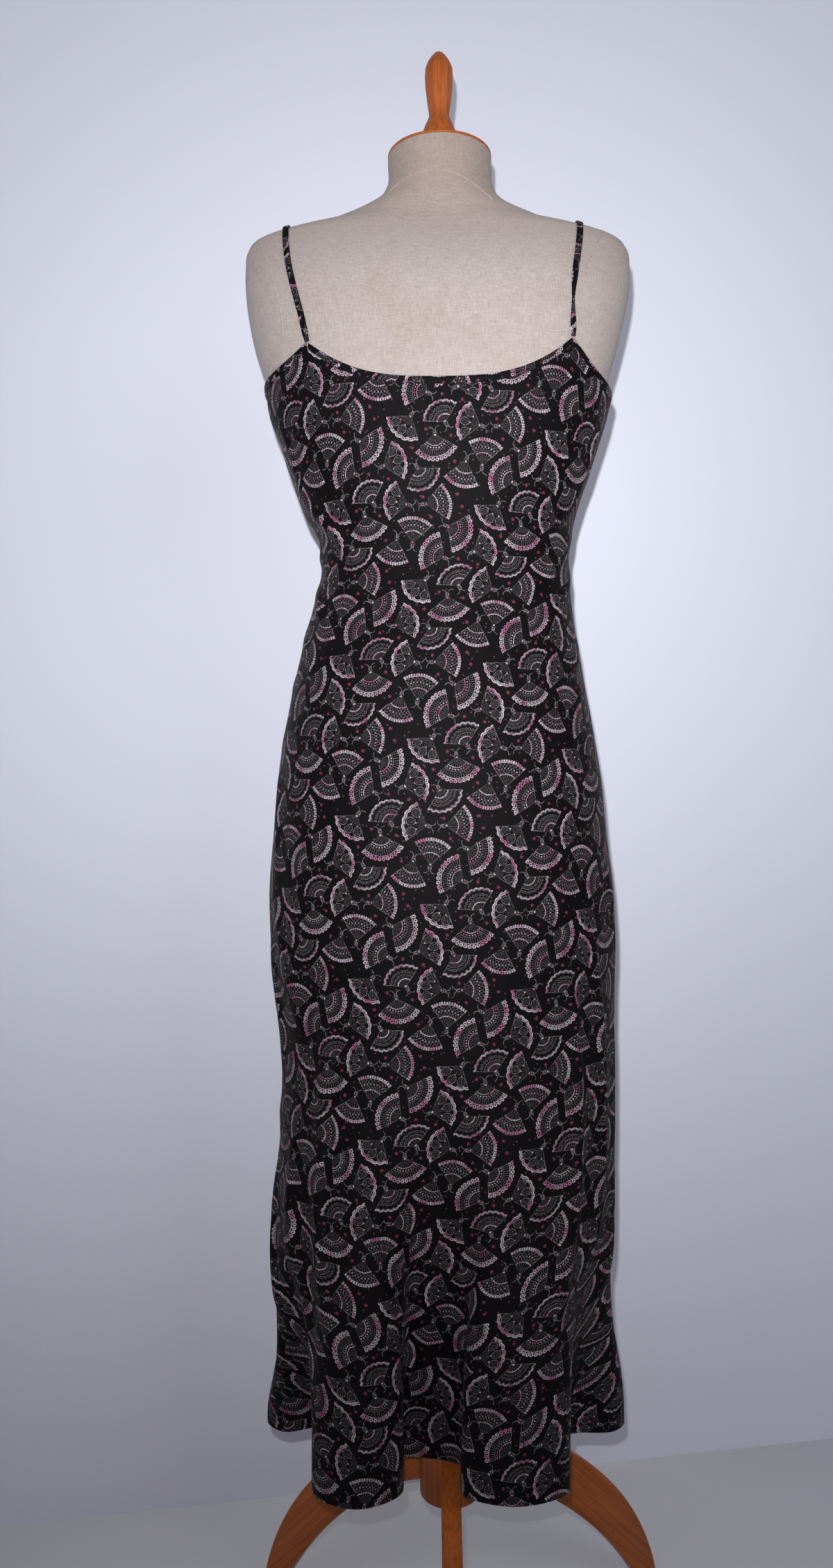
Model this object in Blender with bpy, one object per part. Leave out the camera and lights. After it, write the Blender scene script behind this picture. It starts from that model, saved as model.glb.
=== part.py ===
"""A bias-cut slip dress on a limbless dress form, at real size.

Metres, +Z up.  The form's pole is the axis that every section is measured from.  The dress's back
faces +Y, its front -Y, and its left side seam, as seen from behind, lies at +X.
The last step moves the whole part so that its box stands centred on the origin.
"""
import math

import bmesh
import bpy
import numpy as np
from mathutils import Vector
from mathutils.bvhtree import BVHTree

# ---------------------------------------------------------------- sizes of the cloth
WALL = 0.0012                 # crepe, with the little body it has, as one wall
SEAM_GAP = 0.0003             # what sewn pieces are kept apart by
BINDING_HEIGHT = 0.0070
BINDING_THICKNESS = 0.0022
STRAP_WIDTH = 0.0068
STRAP_THICKNESS = 0.0016
STRAP_SEAT = 0.0007           # from the form's skin to the strap's underside
HEM_HEIGHT = 0.228            # of the lower edge above the floor
PEAK_MARGIN = 0.0010          # of a half's width, from a strap's peak to each binding's end

# Sections of the dress: reach from the pole's axis to the cloth's outside, and how square they are.
DRESS_COLUMNS = ("z", "left", "right", "back", "front", "square")
DRESS_SECTIONS = (
    (1.345, 0.1955, 0.1865, 0.0995, 0.1035, 2.5),
    (1.285, 0.1760, 0.1715, 0.1035, 0.1180, 2.5),
    (1.256, 0.1725, 0.1665, 0.1035, 0.1270, 2.5),
    (1.215, 0.1575, 0.1540, 0.1010, 0.1330, 2.5),
    (1.173, 0.1445, 0.1395, 0.0940, 0.1260, 2.4),
    (1.117, 0.1215, 0.1260, 0.0860, 0.1060, 2.3),
    (1.090, 0.1225, 0.1265, 0.0870, 0.1010, 2.3),
    (1.061, 0.1305, 0.1285, 0.0920, 0.1000, 2.3),
    (1.005, 0.1450, 0.1365, 0.1070, 0.1040, 2.3),
    (0.949, 0.1570, 0.1460, 0.1190, 0.1080, 2.3),
    (0.893, 0.1660, 0.1550, 0.1280, 0.1110, 2.3),
    (0.837, 0.1710, 0.1600, 0.1320, 0.1130, 2.3),
    (0.781, 0.1755, 0.1665, 0.1310, 0.1140, 2.3),
    (0.725, 0.1740, 0.1680, 0.1260, 0.1140, 2.3),
    (0.641, 0.1650, 0.1660, 0.1190, 0.1140, 2.2),
    (0.558, 0.1660, 0.1630, 0.1170, 0.1160, 2.2),
    (0.446, 0.1740, 0.1615, 0.1180, 0.1190, 2.2),
    (0.334, 0.1720, 0.1630, 0.1200, 0.1220, 2.2),
    (0.228, 0.1780, 0.1720, 0.1220, 0.1250, 2.2),
)

# Flutes of the hem, anticlockwise from the left side seam: the crest's place, the way it faces
# (degrees, 0 is +X), its width and depth at the hem, and the height at which it begins.
LOBE_COLUMNS = ("x", "y", "facing", "width", "depth", "begins")
HEM_LOBES = (
    (0.188, -0.033, 12.0, 0.048, 0.056, 0.315),    # left seam, the far left one from behind
    (0.088, 0.112, 90.0, 0.079, 0.076, 0.72),      # near left
    (-0.060, 0.110, 92.0, 0.094, 0.062, 0.66),     # near right
    (-0.181, -0.028, 185.0, 0.036, 0.060, 0.40),   # right seam
    (-0.108, -0.116, 246.0, 0.082, 0.056, 0.68),   # front right
    (-0.010, -0.130, 270.0, 0.070, 0.062, 0.56),   # front middle
    (0.100, -0.117, 291.0, 0.088, 0.056, 0.74),    # front left
)
RIGHT_SEAM_LOBE = 3
VALLEY_PULL = 0.008           # how far the cloth falls in between two flutes
SHOULDER_DROP = 0.30          # a flute's shoulder, as a share of its depth below the crest
SHOULDER_WIDTH = 1.04         # and of its half width
FOLD_GROWTH = 1.35            # over 1: a flute opens slowly, then fast near the hem
HEM_STEPS = 12                # of the hem's line from each of its points to the next
SWEEP_STEPS = 180             # of a half section, from seam to seam

# Upper edges: heights at the side seam, at the strap's peak and at the middle, the peak's place as
# a share of the way from seam to seam, and how the two curves between them bend.
EDGE_COLUMNS = ("left_seam", "right_seam", "left_peak", "right_peak", "middle",
                "left_share", "right_share", "arm_bend", "neck_bend")
EDGES = {
    "back": (1.281, 1.270, 1.302, 1.305, 1.262, 0.225, 0.772, 3.3, 2.9),
    "front": (1.281, 1.270, 1.334, 1.336, 1.236, 0.255, 0.745, 2.2, 1.9),
}

# How finely the panels are cut
ARM_COLUMNS = 7
NECK_COLUMNS = 22
BODICE_ROWS = 19              # down to the hips
SKIRT_ROWS = 13               # from there to the hem
HIP_SHARE = 0.45              # of the way from upper edge to hem
SHARE_STEP = 0.002            # how far apart the cloth is read to find which way it faces
HEIGHT_STEP = 0.002

# ---------------------------------------------------------------- sizes of the form
TORSO_COLUMNS = ("z", "left", "right", "back", "front", "square")
TORSO_SECTIONS = (
    (0.735, 0.1290, 0.1240, 0.0860, 0.0740, 2.2),
    (0.739, 0.1470, 0.1390, 0.1000, 0.0880, 2.2),
    (0.750, 0.1605, 0.1520, 0.1130, 0.1000, 2.3),
    (0.781, 0.1700, 0.1605, 0.1250, 0.1090, 2.3),
    (0.837, 0.1670, 0.1560, 0.1270, 0.1085, 2.3),
    (0.893, 0.1620, 0.1510, 0.1230, 0.1065, 2.3),
    (0.949, 0.1530, 0.1420, 0.1145, 0.1035, 2.3),
    (1.005, 0.1410, 0.1325, 0.1030, 0.0998, 2.3),
    (1.061, 0.1265, 0.1245, 0.0880, 0.0960, 2.3),
    (1.090, 0.1185, 0.1225, 0.0830, 0.0970, 2.3),
    (1.117, 0.1175, 0.1220, 0.0820, 0.1020, 2.3),
    (1.173, 0.1405, 0.1355, 0.0900, 0.1220, 2.4),
    (1.215, 0.1535, 0.1500, 0.0970, 0.1290, 2.5),
    (1.256, 0.1685, 0.1625, 0.0995, 0.1230, 2.5),
    (1.285, 0.1735, 0.1660, 0.0995, 0.1140, 2.5),
    (1.310, 0.1830, 0.1730, 0.0980, 0.1065, 2.5),
    (1.345, 0.1910, 0.1820, 0.0950, 0.0990, 2.5),
    (1.373, 0.1945, 0.1875, 0.0890, 0.0890, 2.5),
    (1.401, 0.1950, 0.1890, 0.0780, 0.0760, 2.4),
    (1.4175, 0.1930, 0.1865, 0.0700, 0.0680, 2.3),
    (1.4265, 0.1860, 0.1780, 0.0660, 0.0640, 2.2),
    (1.433, 0.1660, 0.1560, 0.0630, 0.0610, 2.1),
    (1.439, 0.1350, 0.1260, 0.0610, 0.0590, 2.0),
    (1.447, 0.1080, 0.1020, 0.0590, 0.0570, 2.0),
    (1.4565, 0.0835, 0.0775, 0.0575, 0.0555, 2.0),
    (1.4675, 0.0640, 0.0620, 0.0555, 0.0545, 2.0),
    (1.480, 0.0550, 0.0548, 0.0535, 0.0530, 2.0),
    (1.514, 0.0518, 0.0518, 0.0518, 0.0518, 2.0),
)
TORSO_RING_SPACING = 0.034
TORSO_SEGMENTS = 36

STRAP_PIVOT_HEIGHT = 1.330    # the straps' way over the shoulder is swept round this level
STRAP_SHOULDER = {"left": 0.1505, "right": -0.1345}    # x of the strap on the shoulder's ridge
STRAP_BEND = {"left": 1.2, "right": 3.0}    # how late each swings out to the ridge
STRAP_FEELERS = 160           # places where the strap feels for the form's skin
STRAP_END_SHARE = 0.02        # how far from its ends it starts to
STRAP_EASING = 6              # rounds of evening out the way that it faces

FIT_GAP = 0.0003              # between the form's own parts
CAP_RADIUS = 0.0520
CAP_THICKNESS = 0.0026
CAP_ROUNDING = 0.0006
CAP_SEGMENTS = 36

PROFILE_COLUMNS = ("radius", "height")
# The turned finial, from its foot on the cap to its tip.
FINIAL_PROFILE = (
    (0.0225, 0.0000), (0.0225, 0.0040), (0.0212, 0.0090), (0.0185, 0.0190), (0.0160, 0.0265),
    (0.0144, 0.0310), (0.0112, 0.0380), (0.0102, 0.0405), (0.0118, 0.0540), (0.0136, 0.0690),
    (0.0142, 0.0800), (0.0136, 0.0890), (0.0114, 0.0945), (0.0080, 0.1000), (0.0045, 0.1040),
    (0.0010, 0.1058),
)
FINIAL_SEGMENTS = 20

POLE_RADIUS = 0.0125
POLE_SEGMENTS = 20
HUB_RADIUS = 0.030
HUB_BOTTOM = 0.174
HUB_TOP = 0.236
HUB_BEVEL = 0.002
HUB_SEGMENTS = 24

LEG_THICKNESS = 0.0185
LEG_BEVEL = 0.0015
LEG_COLUMNS = ("facing", "reach")     # degrees from +X, and how far out it stands beside the others
LEGS = {"leg_back": (89.5, 1.0), "leg_left": (-30.5, 0.865), "leg_right": (210.0, 1.0)}
# A leg's two edges as Bezier curves, in (distance from the hub's axis, height).
LEG_UPPER_EDGE = ((0.0303, 0.222), (0.150, 0.200), (0.246, 0.100), (0.2640, 0.004))
LEG_UNDERSIDE = ((0.2400, 0.004), (0.205, 0.062), (0.120, 0.152), (0.0303, 0.181))
LEG_TOE = 0.002               # the foot's flat starts this far inside the curves' ends
LEG_STEPS = 11

# ---------------------------------------------------------------- plain colours
MATERIALS = {
    "crepe": ((0.012, 0.010, 0.013), 0.62),
    "linen": ((0.47, 0.41, 0.37), 0.85),
    "beech": ((0.38, 0.13, 0.035), 0.42),
    "pole_metal": ((0.35, 0.35, 0.36), 0.35),
}


# ---------------------------------------------------------------- helpers
def smooth_between(table, columns, name, height):
    """A column of a table of sections, read at any height along a smooth curve."""
    rows = np.array(sorted(table))
    heights = rows[:, columns.index("z")]
    values = rows[:, columns.index(name)]
    slopes = np.gradient(values, heights)
    place = int(np.clip(np.searchsorted(heights, height) - 1, 0, len(heights) - 2))
    span = heights[place + 1] - heights[place]
    t = min(max((height - heights[place]) / span, 0.0), 1.0)
    return ((1 + 2 * t) * (1 - t) ** 2 * values[place]
            + t * (1 - t) ** 2 * span * slopes[place]
            + t * t * (3 - 2 * t) * values[place + 1]
            + t * t * (t - 1) * span * slopes[place + 1])


def section(table, columns, height, angles):
    """Points of a rounded section at a height; angle 0 is +X and 90 degrees is +Y."""
    size = {name: smooth_between(table, columns, name, height) for name in columns[1:]}
    power = 2.0 / size["square"]
    across = np.cos(angles)
    along = np.sin(angles)
    x = np.where(across > 0, size["left"], size["right"]) * np.sign(across) * np.abs(across) ** power
    y = np.where(along > 0, size["back"], size["front"]) * np.sign(along) * np.abs(along) ** power
    return np.stack([x, y], axis=1)


def walk(line, shares):
    """Points at the given shares of a polyline's length."""
    steps = np.linalg.norm(np.diff(line, axis=0), axis=1)
    way = np.concatenate([[0.0], np.cumsum(steps)])
    way /= way[-1]
    return np.stack([np.interp(shares, way, line[:, axis]) for axis in range(line.shape[1])], axis=1)


def closed_curve(points, steps):
    """A smooth closed curve through the points, with that many steps from each to the next."""
    points = np.array(points)
    before, after, second = (np.roll(points, shift, axis=0) for shift in (1, -1, -2))
    t = (np.arange(steps) / steps)[None, :, None]
    p0, p1, p2, p3 = (group[:, None, :] for group in (before, points, after, second))
    curve = 0.5 * (2 * p1 + (p2 - p0) * t + (2 * p0 - 5 * p1 + 4 * p2 - p3) * t ** 2
                   + (3 * p1 - p0 - 3 * p2 + p3) * t ** 3)
    return curve.reshape(-1, 2)


def bezier(corners, steps):
    """Points of a cubic Bezier curve."""
    a, b, c, d = (np.array(corner) for corner in corners)
    t = np.linspace(0.0, 1.0, steps)[:, None]
    return a * (1 - t) ** 3 + 3 * b * t * (1 - t) ** 2 + 3 * c * t * t * (1 - t) + d * t ** 3


def material(name):
    """The named material, made once."""
    if name in bpy.data.materials:
        return bpy.data.materials[name]
    colour, roughness = MATERIALS[name]
    made = bpy.data.materials.new(name)
    made.use_nodes = True
    shader = made.node_tree.nodes["Principled BSDF"]
    shader.inputs["Base Color"].default_value = (*colour, 1.0)
    shader.inputs["Roughness"].default_value = roughness
    shader.inputs["Metallic"].default_value = 0.8 if name == "pole_metal" else 0.0
    made.diffuse_color = (*colour, 1.0)
    return made


def add_object(name, mesh_data, material_name, bevel=0.0):
    """A named object from (points, faces), facing out, shaded smooth."""
    points, faces = mesh_data
    mesh = bpy.data.meshes.new(name)
    mesh.from_pydata([tuple(point) for point in points], [], faces)
    shape = bmesh.new()
    shape.from_mesh(mesh)
    bmesh.ops.recalc_face_normals(shape, faces=shape.faces)
    shape.to_mesh(mesh)
    shape.free()
    mesh.shade_smooth()
    mesh.set_sharp_from_angle(angle=math.radians(40))
    mesh.materials.append(material(material_name))
    made = bpy.data.objects.new(name, mesh)
    bpy.context.scene.collection.objects.link(made)
    if bevel:
        edge = made.modifiers.new("edges", "BEVEL")
        edge.width = bevel
        edge.segments = 1
        edge.limit_method = "ANGLE"
        edge.angle_limit = math.radians(50)
    return made


# ---------------------------------------------------------------- the dress's surface
def hem_halves():
    """The hem's line over the back and over the front, both from the left to the right seam."""
    points = []
    crests = []
    for x, y, facing, width, depth, _ in HEM_LOBES:
        out = np.array([math.cos(math.radians(facing)), math.sin(math.radians(facing))])
        round_way = np.array([-out[1], out[0]])
        crest = np.array([x, y])
        flank_in = crest - depth * out - 0.5 * width * round_way
        flank_out = crest - depth * out + 0.5 * width * round_way
        shoulder = SHOULDER_DROP * depth * out
        reach = 0.5 * SHOULDER_WIDTH * width * round_way
        crests.append(crest)
        points.append([flank_in, crest - shoulder - reach, crest, crest - shoulder + reach, flank_out])
    outline = []
    for here, following in zip(points, points[1:] + points[:1]):
        middle = 0.5 * (here[-1] + following[0])
        valley = middle * (1 - VALLEY_PULL / np.linalg.norm(middle))
        outline += here + [valley]
    curve = closed_curve(outline, HEM_STEPS)
    points_a_lobe = 6
    crest_place = 2
    left = crest_place * HEM_STEPS
    right = (RIGHT_SEAM_LOBE * points_a_lobe + crest_place) * HEM_STEPS
    curve = np.roll(curve, -left, axis=0)
    curve = np.vstack([curve, curve[:1]])
    split = right - left
    return {"back": curve[:split + 1], "front": curve[split:][::-1]}


HEM = hem_halves()


def begin_heights(side, shares):
    """The height at which the cloth at each share of a half starts to turn into its flute."""
    lobes = [dict(zip(LOBE_COLUMNS, row)) for row in HEM_LOBES]
    if side == "back":
        order = lobes[:RIGHT_SEAM_LOBE + 1]
    else:
        order = [lobes[0]] + lobes[:RIGHT_SEAM_LOBE - 1:-1]
    line = HEM[side]
    way = np.concatenate([[0.0], np.cumsum(np.linalg.norm(np.diff(line, axis=0), axis=1))])
    places = [np.argmin(np.hypot(line[:, 0] - lobe["x"], line[:, 1] - lobe["y"])) for lobe in order]
    return np.interp(shares, way[places] / way[-1], [lobe["begins"] for lobe in order])


def cloth_points(side, shares, heights):
    """Points of the cloth's outside, one for each pair of share and height.

    A share below 0 or above 1 lies just past a side seam, on the other half.
    """
    past_seam = (shares < 0.0) | (shares > 1.0)
    if past_seam.any():
        folded = np.where(shares < 0.0, -shares, np.where(shares > 1.0, 2.0 - shares, shares))
        other = "front" if side == "back" else "back"
        return np.where(past_seam[:, None], cloth_points(other, folded, heights),
                        cloth_points(side, folded, heights))
    sweep = np.linspace(0.0, math.pi, SWEEP_STEPS + 1)
    angles = sweep if side == "back" else -sweep
    begins = begin_heights(side, shares)
    hem_points = walk(HEM[side], shares)
    points = np.zeros((len(shares), 3))
    for place, (share, height) in enumerate(zip(shares, heights)):
        body = walk(section(DRESS_SECTIONS, DRESS_COLUMNS, height, angles), [share])[0]
        fall = np.clip((begins[place] - height) / (begins[place] - HEM_HEIGHT), 0.0, 1.0)
        fold = (fall * fall * (3 - 2 * fall)) ** FOLD_GROWTH
        points[place, :2] = (1 - fold) * body + fold * hem_points[place]
        points[place, 2] = height
    return points


def cloth_normals(side, shares, heights):
    """Outward normals of the cloth at the same places, alike on both sides of a seam."""
    along = (cloth_points(side, shares + SHARE_STEP, heights)
             - cloth_points(side, shares - SHARE_STEP, heights))
    down = (cloth_points(side, shares, heights - HEIGHT_STEP)
            - cloth_points(side, shares, heights + HEIGHT_STEP))
    normals = np.cross(down, along)
    normals /= np.linalg.norm(normals, axis=1, keepdims=True)
    return -normals if side == "front" else normals


def edge_heights(side, shares):
    """Height of the finished upper edge at each share of a half."""
    size = dict(zip(EDGE_COLUMNS, EDGES[side]))
    heights = []
    for share in shares:
        if share <= size["left_share"]:
            t = share / size["left_share"]
            low, high, bend = size["left_seam"], size["left_peak"], size["arm_bend"]
        elif share >= size["right_share"]:
            t = (1 - share) / (1 - size["right_share"])
            low, high, bend = size["right_seam"], size["right_peak"], size["arm_bend"]
        else:
            centre = 0.5 * (size["left_share"] + size["right_share"])
            name = "left" if share < centre else "right"
            t = abs(share - centre) / abs(size[name + "_share"] - centre)
            low, high, bend = size["middle"], size[name + "_peak"], size["neck_bend"]
        heights.append(low + (high - low) * t ** bend)
    return np.array(heights)


def column_shares(side):
    """Shares of the panel's columns: under the left arm, along the neck, under the right arm."""
    size = dict(zip(EDGE_COLUMNS, EDGES[side]))
    left = np.linspace(0.0, size["left_share"], ARM_COLUMNS + 1)
    neck = np.linspace(size["left_share"], size["right_share"], NECK_COLUMNS + 1)
    right = np.linspace(size["right_share"], 1.0, ARM_COLUMNS + 1)
    return np.concatenate([left, neck[1:], right[1:]])


def wall_solid(grid, normals, outward, inward):
    """A closed wall round a grid: its skins lie so far out and in from the grid's points."""
    rows, columns = grid.shape[:2]
    outer = (grid + outward * normals).reshape(-1, 3)
    inner = (grid - inward * normals).reshape(-1, 3)
    points = np.vstack([outer, inner])
    shift = rows * columns
    faces = []
    for row in range(rows - 1):
        for column in range(columns - 1):
            a = row * columns + column
            quad = (a, a + 1, a + columns + 1, a + columns)
            faces.append(quad)
            faces.append(tuple(shift + corner for corner in reversed(quad)))
    rim = ([(0, column) for column in range(columns - 1)]
           + [(row, columns - 1) for row in range(rows - 1)]
           + [(rows - 1, column) for column in range(columns - 1, 0, -1)]
           + [(row, 0) for row in range(rows - 1, 0, -1)])
    rim = [row * columns + column for row, column in rim]
    for a, b in zip(rim, rim[1:] + rim[:1]):
        faces.append((a, shift + a, shift + b, b))
    return points, faces


def panel(side):
    """The back or the front of the dress, from under its bindings to the hem."""
    shares = column_shares(side)
    tops = edge_heights(side, shares) - BINDING_HEIGHT - SEAM_GAP
    falls = np.concatenate([np.linspace(0.0, HIP_SHARE, BODICE_ROWS + 1),
                            np.linspace(HIP_SHARE, 1.0, SKIRT_ROWS + 1)[1:]])
    levels = [tops + (HEM_HEIGHT - tops) * fall for fall in falls]
    grid = np.array([cloth_points(side, shares, heights) for heights in levels])
    normals = np.array([cloth_normals(side, shares, heights) for heights in levels])
    for edge, neighbour in ((0, 1), (-1, -2)):
        inward = grid[:, neighbour] - grid[:, edge]
        inward /= np.linalg.norm(inward, axis=1, keepdims=True)
        grid[:, edge] += 0.5 * SEAM_GAP * inward
    return wall_solid(grid, normals, 0.0, WALL)


def binding(stretches):
    """A folded strip along an upper edge, in one or two stretches of (side, shares)."""
    grids = []
    normals = []
    for side, shares in stretches:
        tops = edge_heights(side, shares)
        levels = [tops - share * BINDING_HEIGHT for share in (0.0, 0.5, 1.0)]
        grids.append(np.array([cloth_points(side, shares, heights) for heights in levels]))
        normals.append(np.array([cloth_normals(side, shares, heights) for heights in levels]))
    if len(stretches) == 2:
        grids[1], normals[1] = grids[1][:, 1:], normals[1][:, 1:]
    proud = 0.5 * (BINDING_THICKNESS - WALL)
    return wall_solid(np.concatenate(grids, axis=1), np.concatenate(normals, axis=1), proud, WALL + proud)


def neck_binding(side):
    """The binding of a neckline, from peak to peak, stopping half a seam short of each."""
    size = dict(zip(EDGE_COLUMNS, EDGES[side]))
    shares = np.linspace(size["left_share"] + PEAK_MARGIN, size["right_share"] - PEAK_MARGIN,
                         NECK_COLUMNS + 1)
    return binding([(side, shares)])


def armhole_binding(hand):
    """The binding of an armhole, from the back's peak under the arm to the front's peak."""
    stretches = []
    for side in ("back", "front"):
        size = dict(zip(EDGE_COLUMNS, EDGES[side]))
        if hand == "left":
            shares = np.linspace(size["left_share"] - PEAK_MARGIN, 0.0, ARM_COLUMNS + 1)
        else:
            shares = np.linspace(size["right_share"] + PEAK_MARGIN, 1.0, ARM_COLUMNS + 1)
        stretches.append((side, shares if side == "back" else shares[::-1]))
    return binding(stretches)


# ---------------------------------------------------------------- the form
def torso():
    """The form's body and neck as stacked rings, closed below and above."""
    heights = []
    rows = sorted(TORSO_SECTIONS)
    for lower, upper in zip(rows, rows[1:]):
        count = max(1, math.ceil((upper[0] - lower[0]) / TORSO_RING_SPACING))
        heights += list(np.linspace(lower[0], upper[0], count, endpoint=False))
    heights.append(rows[-1][0])
    turn = np.linspace(0.0, 2 * math.pi, TORSO_SEGMENTS, endpoint=False)
    rings = []
    for height in heights:
        flat = section(TORSO_SECTIONS, TORSO_COLUMNS, height, turn)
        rings.append(np.column_stack([flat, np.full(TORSO_SEGMENTS, height)]))
    return stacked_rings(rings)


def stacked_rings(rings):
    """A closed solid through rings of equal counts."""
    count = len(rings[0])
    points = np.vstack(rings)
    faces = []
    for level in range(len(rings) - 1):
        for place in range(count):
            after = (place + 1) % count
            a = level * count
            faces.append((a + place, a + after, a + count + after, a + count + place))
    faces.append(tuple(range(count))[::-1])
    faces.append(tuple((len(rings) - 1) * count + place for place in range(count)))
    return points, faces


def turned(profile, segments, bottom):
    """A solid turned from (radius, height) pairs, from its foot up."""
    turn = np.linspace(0.0, 2 * math.pi, segments, endpoint=False)
    rings = []
    for row in profile:
        size = dict(zip(PROFILE_COLUMNS, row))
        rings.append(np.column_stack([size["radius"] * np.cos(turn), size["radius"] * np.sin(turn),
                                      np.full(segments, bottom + size["height"])]))
    return stacked_rings(rings)


def leg(facing, reach):
    """A curved board leg: its outline in the hub's radial plane, given its thickness."""
    upper = bezier(LEG_UPPER_EDGE, LEG_STEPS)
    under = bezier(LEG_UNDERSIDE, LEG_STEPS)
    foot = [(LEG_UPPER_EDGE[-1][0] - LEG_TOE, 0.0), (LEG_UNDERSIDE[0][0] + LEG_TOE, 0.0)]
    outline = np.vstack([upper, foot, under])
    seat = LEG_UPPER_EDGE[0][0]
    outline[:, 0] = seat + (outline[:, 0] - seat) * reach
    out = np.array([math.cos(math.radians(facing)), math.sin(math.radians(facing)), 0.0])
    across = np.array([-out[1], out[0], 0.0])
    sides = []
    for half in (-0.5, 0.5):
        sides.append([out * distance + across * half * LEG_THICKNESS + np.array([0.0, 0.0, height])
                      for distance, height in outline])
    count = len(outline)
    faces = [tuple(range(count)), tuple(range(2 * count - 1, count - 1, -1))]
    for place in range(count):
        after = (place + 1) % count
        faces.append((after, place, count + place, count + after))
    return np.vstack(sides), faces


# ---------------------------------------------------------------- straps
def strap_ends(hand):
    """Where the strap starts and stops: the middle of the bindings' tops at the two peaks."""
    ends = []
    for side in ("back", "front"):
        size = dict(zip(EDGE_COLUMNS, EDGES[side]))
        share = np.array([size[hand + "_share"]])
        height = edge_heights(side, share)
        top = cloth_points(side, share, height)[0] - 0.5 * WALL * cloth_normals(side, share, height)[0]
        ends.append(top + np.array([0.0, 0.0, SEAM_GAP]))
    return ends


def taut(points):
    """The points that a line pulled tight over them would touch, seen along X."""
    kept = [0]
    for place in range(1, len(points)):
        while len(kept) > 1:
            before, last = points[kept[-2], 1:], points[kept[-1], 1:]
            here = points[place, 1:]
            turn = ((last[0] - before[0]) * (here[1] - last[1])
                    - (last[1] - before[1]) * (here[0] - last[0]))
            if turn > 0.0:
                break
            kept.pop()
        kept.append(place)
    return kept


def strap_path(hand, skin):
    """Centre points and outward directions from the back's peak over the shoulder to the front's."""
    ends = strap_ends(hand)
    begin, finish = (math.atan2(end[2] - STRAP_PIVOT_HEIGHT, end[1]) for end in ends)
    rise = STRAP_SHOULDER[hand] - 0.5 * (ends[0][0] + ends[1][0])
    points = [ends[0]]
    normals = []
    for t in np.linspace(STRAP_END_SHARE, 1.0 - STRAP_END_SHARE, STRAP_FEELERS):
        angle = begin + (finish % (2 * math.pi) - begin) * t
        across = (1 - t) * ends[0][0] + t * ends[1][0] + rise * math.sin(math.pi * t) ** STRAP_BEND[hand]
        ray = Vector((0.0, math.cos(angle), math.sin(angle)))
        hit, normal, _, _ = skin.ray_cast(Vector((across, 0.0, STRAP_PIVOT_HEIGHT)), ray)
        points.append(np.array(hit + normal * (STRAP_SEAT + 0.5 * STRAP_THICKNESS)))
        normals.append(np.array(normal))
    points = np.array(points + [ends[1]])
    normals = np.array([normals[0]] + normals + [normals[-1]])
    for _ in range(STRAP_EASING):
        normals[1:-1] = 0.25 * normals[:-2] + 0.5 * normals[1:-1] + 0.25 * normals[2:]
    kept = taut(points)
    return points[kept], normals[kept]


def strap(hand, skin):
    """A flat tube strap pulled tight over the shoulder, standing on the peaks of the bindings."""
    centre, normals = strap_path(hand, skin)
    way = np.gradient(centre, axis=0)
    way /= np.linalg.norm(way, axis=1, keepdims=True)
    side = np.cross(way, normals)
    side /= np.linalg.norm(side, axis=1, keepdims=True)
    up = np.cross(side, way)
    half_width = 0.5 * STRAP_WIDTH * side
    half_depth = 0.5 * STRAP_THICKNESS * up
    rings = np.stack([centre - half_width - half_depth, centre + half_width - half_depth,
                      centre + half_width + half_depth, centre - half_width + half_depth], axis=1)
    return stacked_rings(list(rings))


# ---------------------------------------------------------------- the whole part
def clear_scene():
    """Removes whatever is in the scene."""
    for old in list(bpy.data.objects):
        bpy.data.objects.remove(old, do_unlink=True)


def build_form():
    """The dress form, from its finial to its feet; returns the torso's skin."""
    body = add_object("form_torso", torso(), "linen")
    neck_top = TORSO_SECTIONS[-1][0]
    cap_bottom = neck_top + FIT_GAP
    cap = ((CAP_RADIUS - CAP_ROUNDING, 0.0), (CAP_RADIUS, CAP_ROUNDING),
           (CAP_RADIUS, CAP_THICKNESS - CAP_ROUNDING), (CAP_RADIUS - CAP_ROUNDING, CAP_THICKNESS))
    add_object("neck_cap", turned(cap, CAP_SEGMENTS, cap_bottom), "beech")
    finial_foot = cap_bottom + CAP_THICKNESS + FIT_GAP
    add_object("finial", turned(FINIAL_PROFILE, FINIAL_SEGMENTS, finial_foot), "beech")
    torso_bottom = TORSO_SECTIONS[0][0]
    pole = ((POLE_RADIUS, HUB_TOP + FIT_GAP), (POLE_RADIUS, torso_bottom - FIT_GAP))
    add_object("pole", turned(pole, POLE_SEGMENTS, 0.0), "pole_metal")
    hub = ((HUB_RADIUS - HUB_BEVEL, HUB_BOTTOM), (HUB_RADIUS, HUB_BOTTOM + HUB_BEVEL),
           (HUB_RADIUS, HUB_TOP - HUB_BEVEL), (HUB_RADIUS - HUB_BEVEL, HUB_TOP))
    add_object("hub", turned(hub, HUB_SEGMENTS, 0.0), "beech")
    for name, row in LEGS.items():
        size = dict(zip(LEG_COLUMNS, row))
        add_object(name, leg(size["facing"], size["reach"]), "beech", bevel=LEG_BEVEL)
    return BVHTree.FromPolygons([vertex.co for vertex in body.data.vertices],
                                [polygon.vertices for polygon in body.data.polygons])


def build_dress(skin):
    """The dress's pieces, hung on the form."""
    for side in ("back", "front"):
        add_object(side + "_panel", panel(side), "crepe")
        add_object("neck_binding_" + side, neck_binding(side), "crepe")
    for hand in ("left", "right"):
        add_object("armhole_binding_" + hand, armhole_binding(hand), "crepe")
        add_object("strap_" + hand, strap(hand, skin), "crepe")


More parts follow.
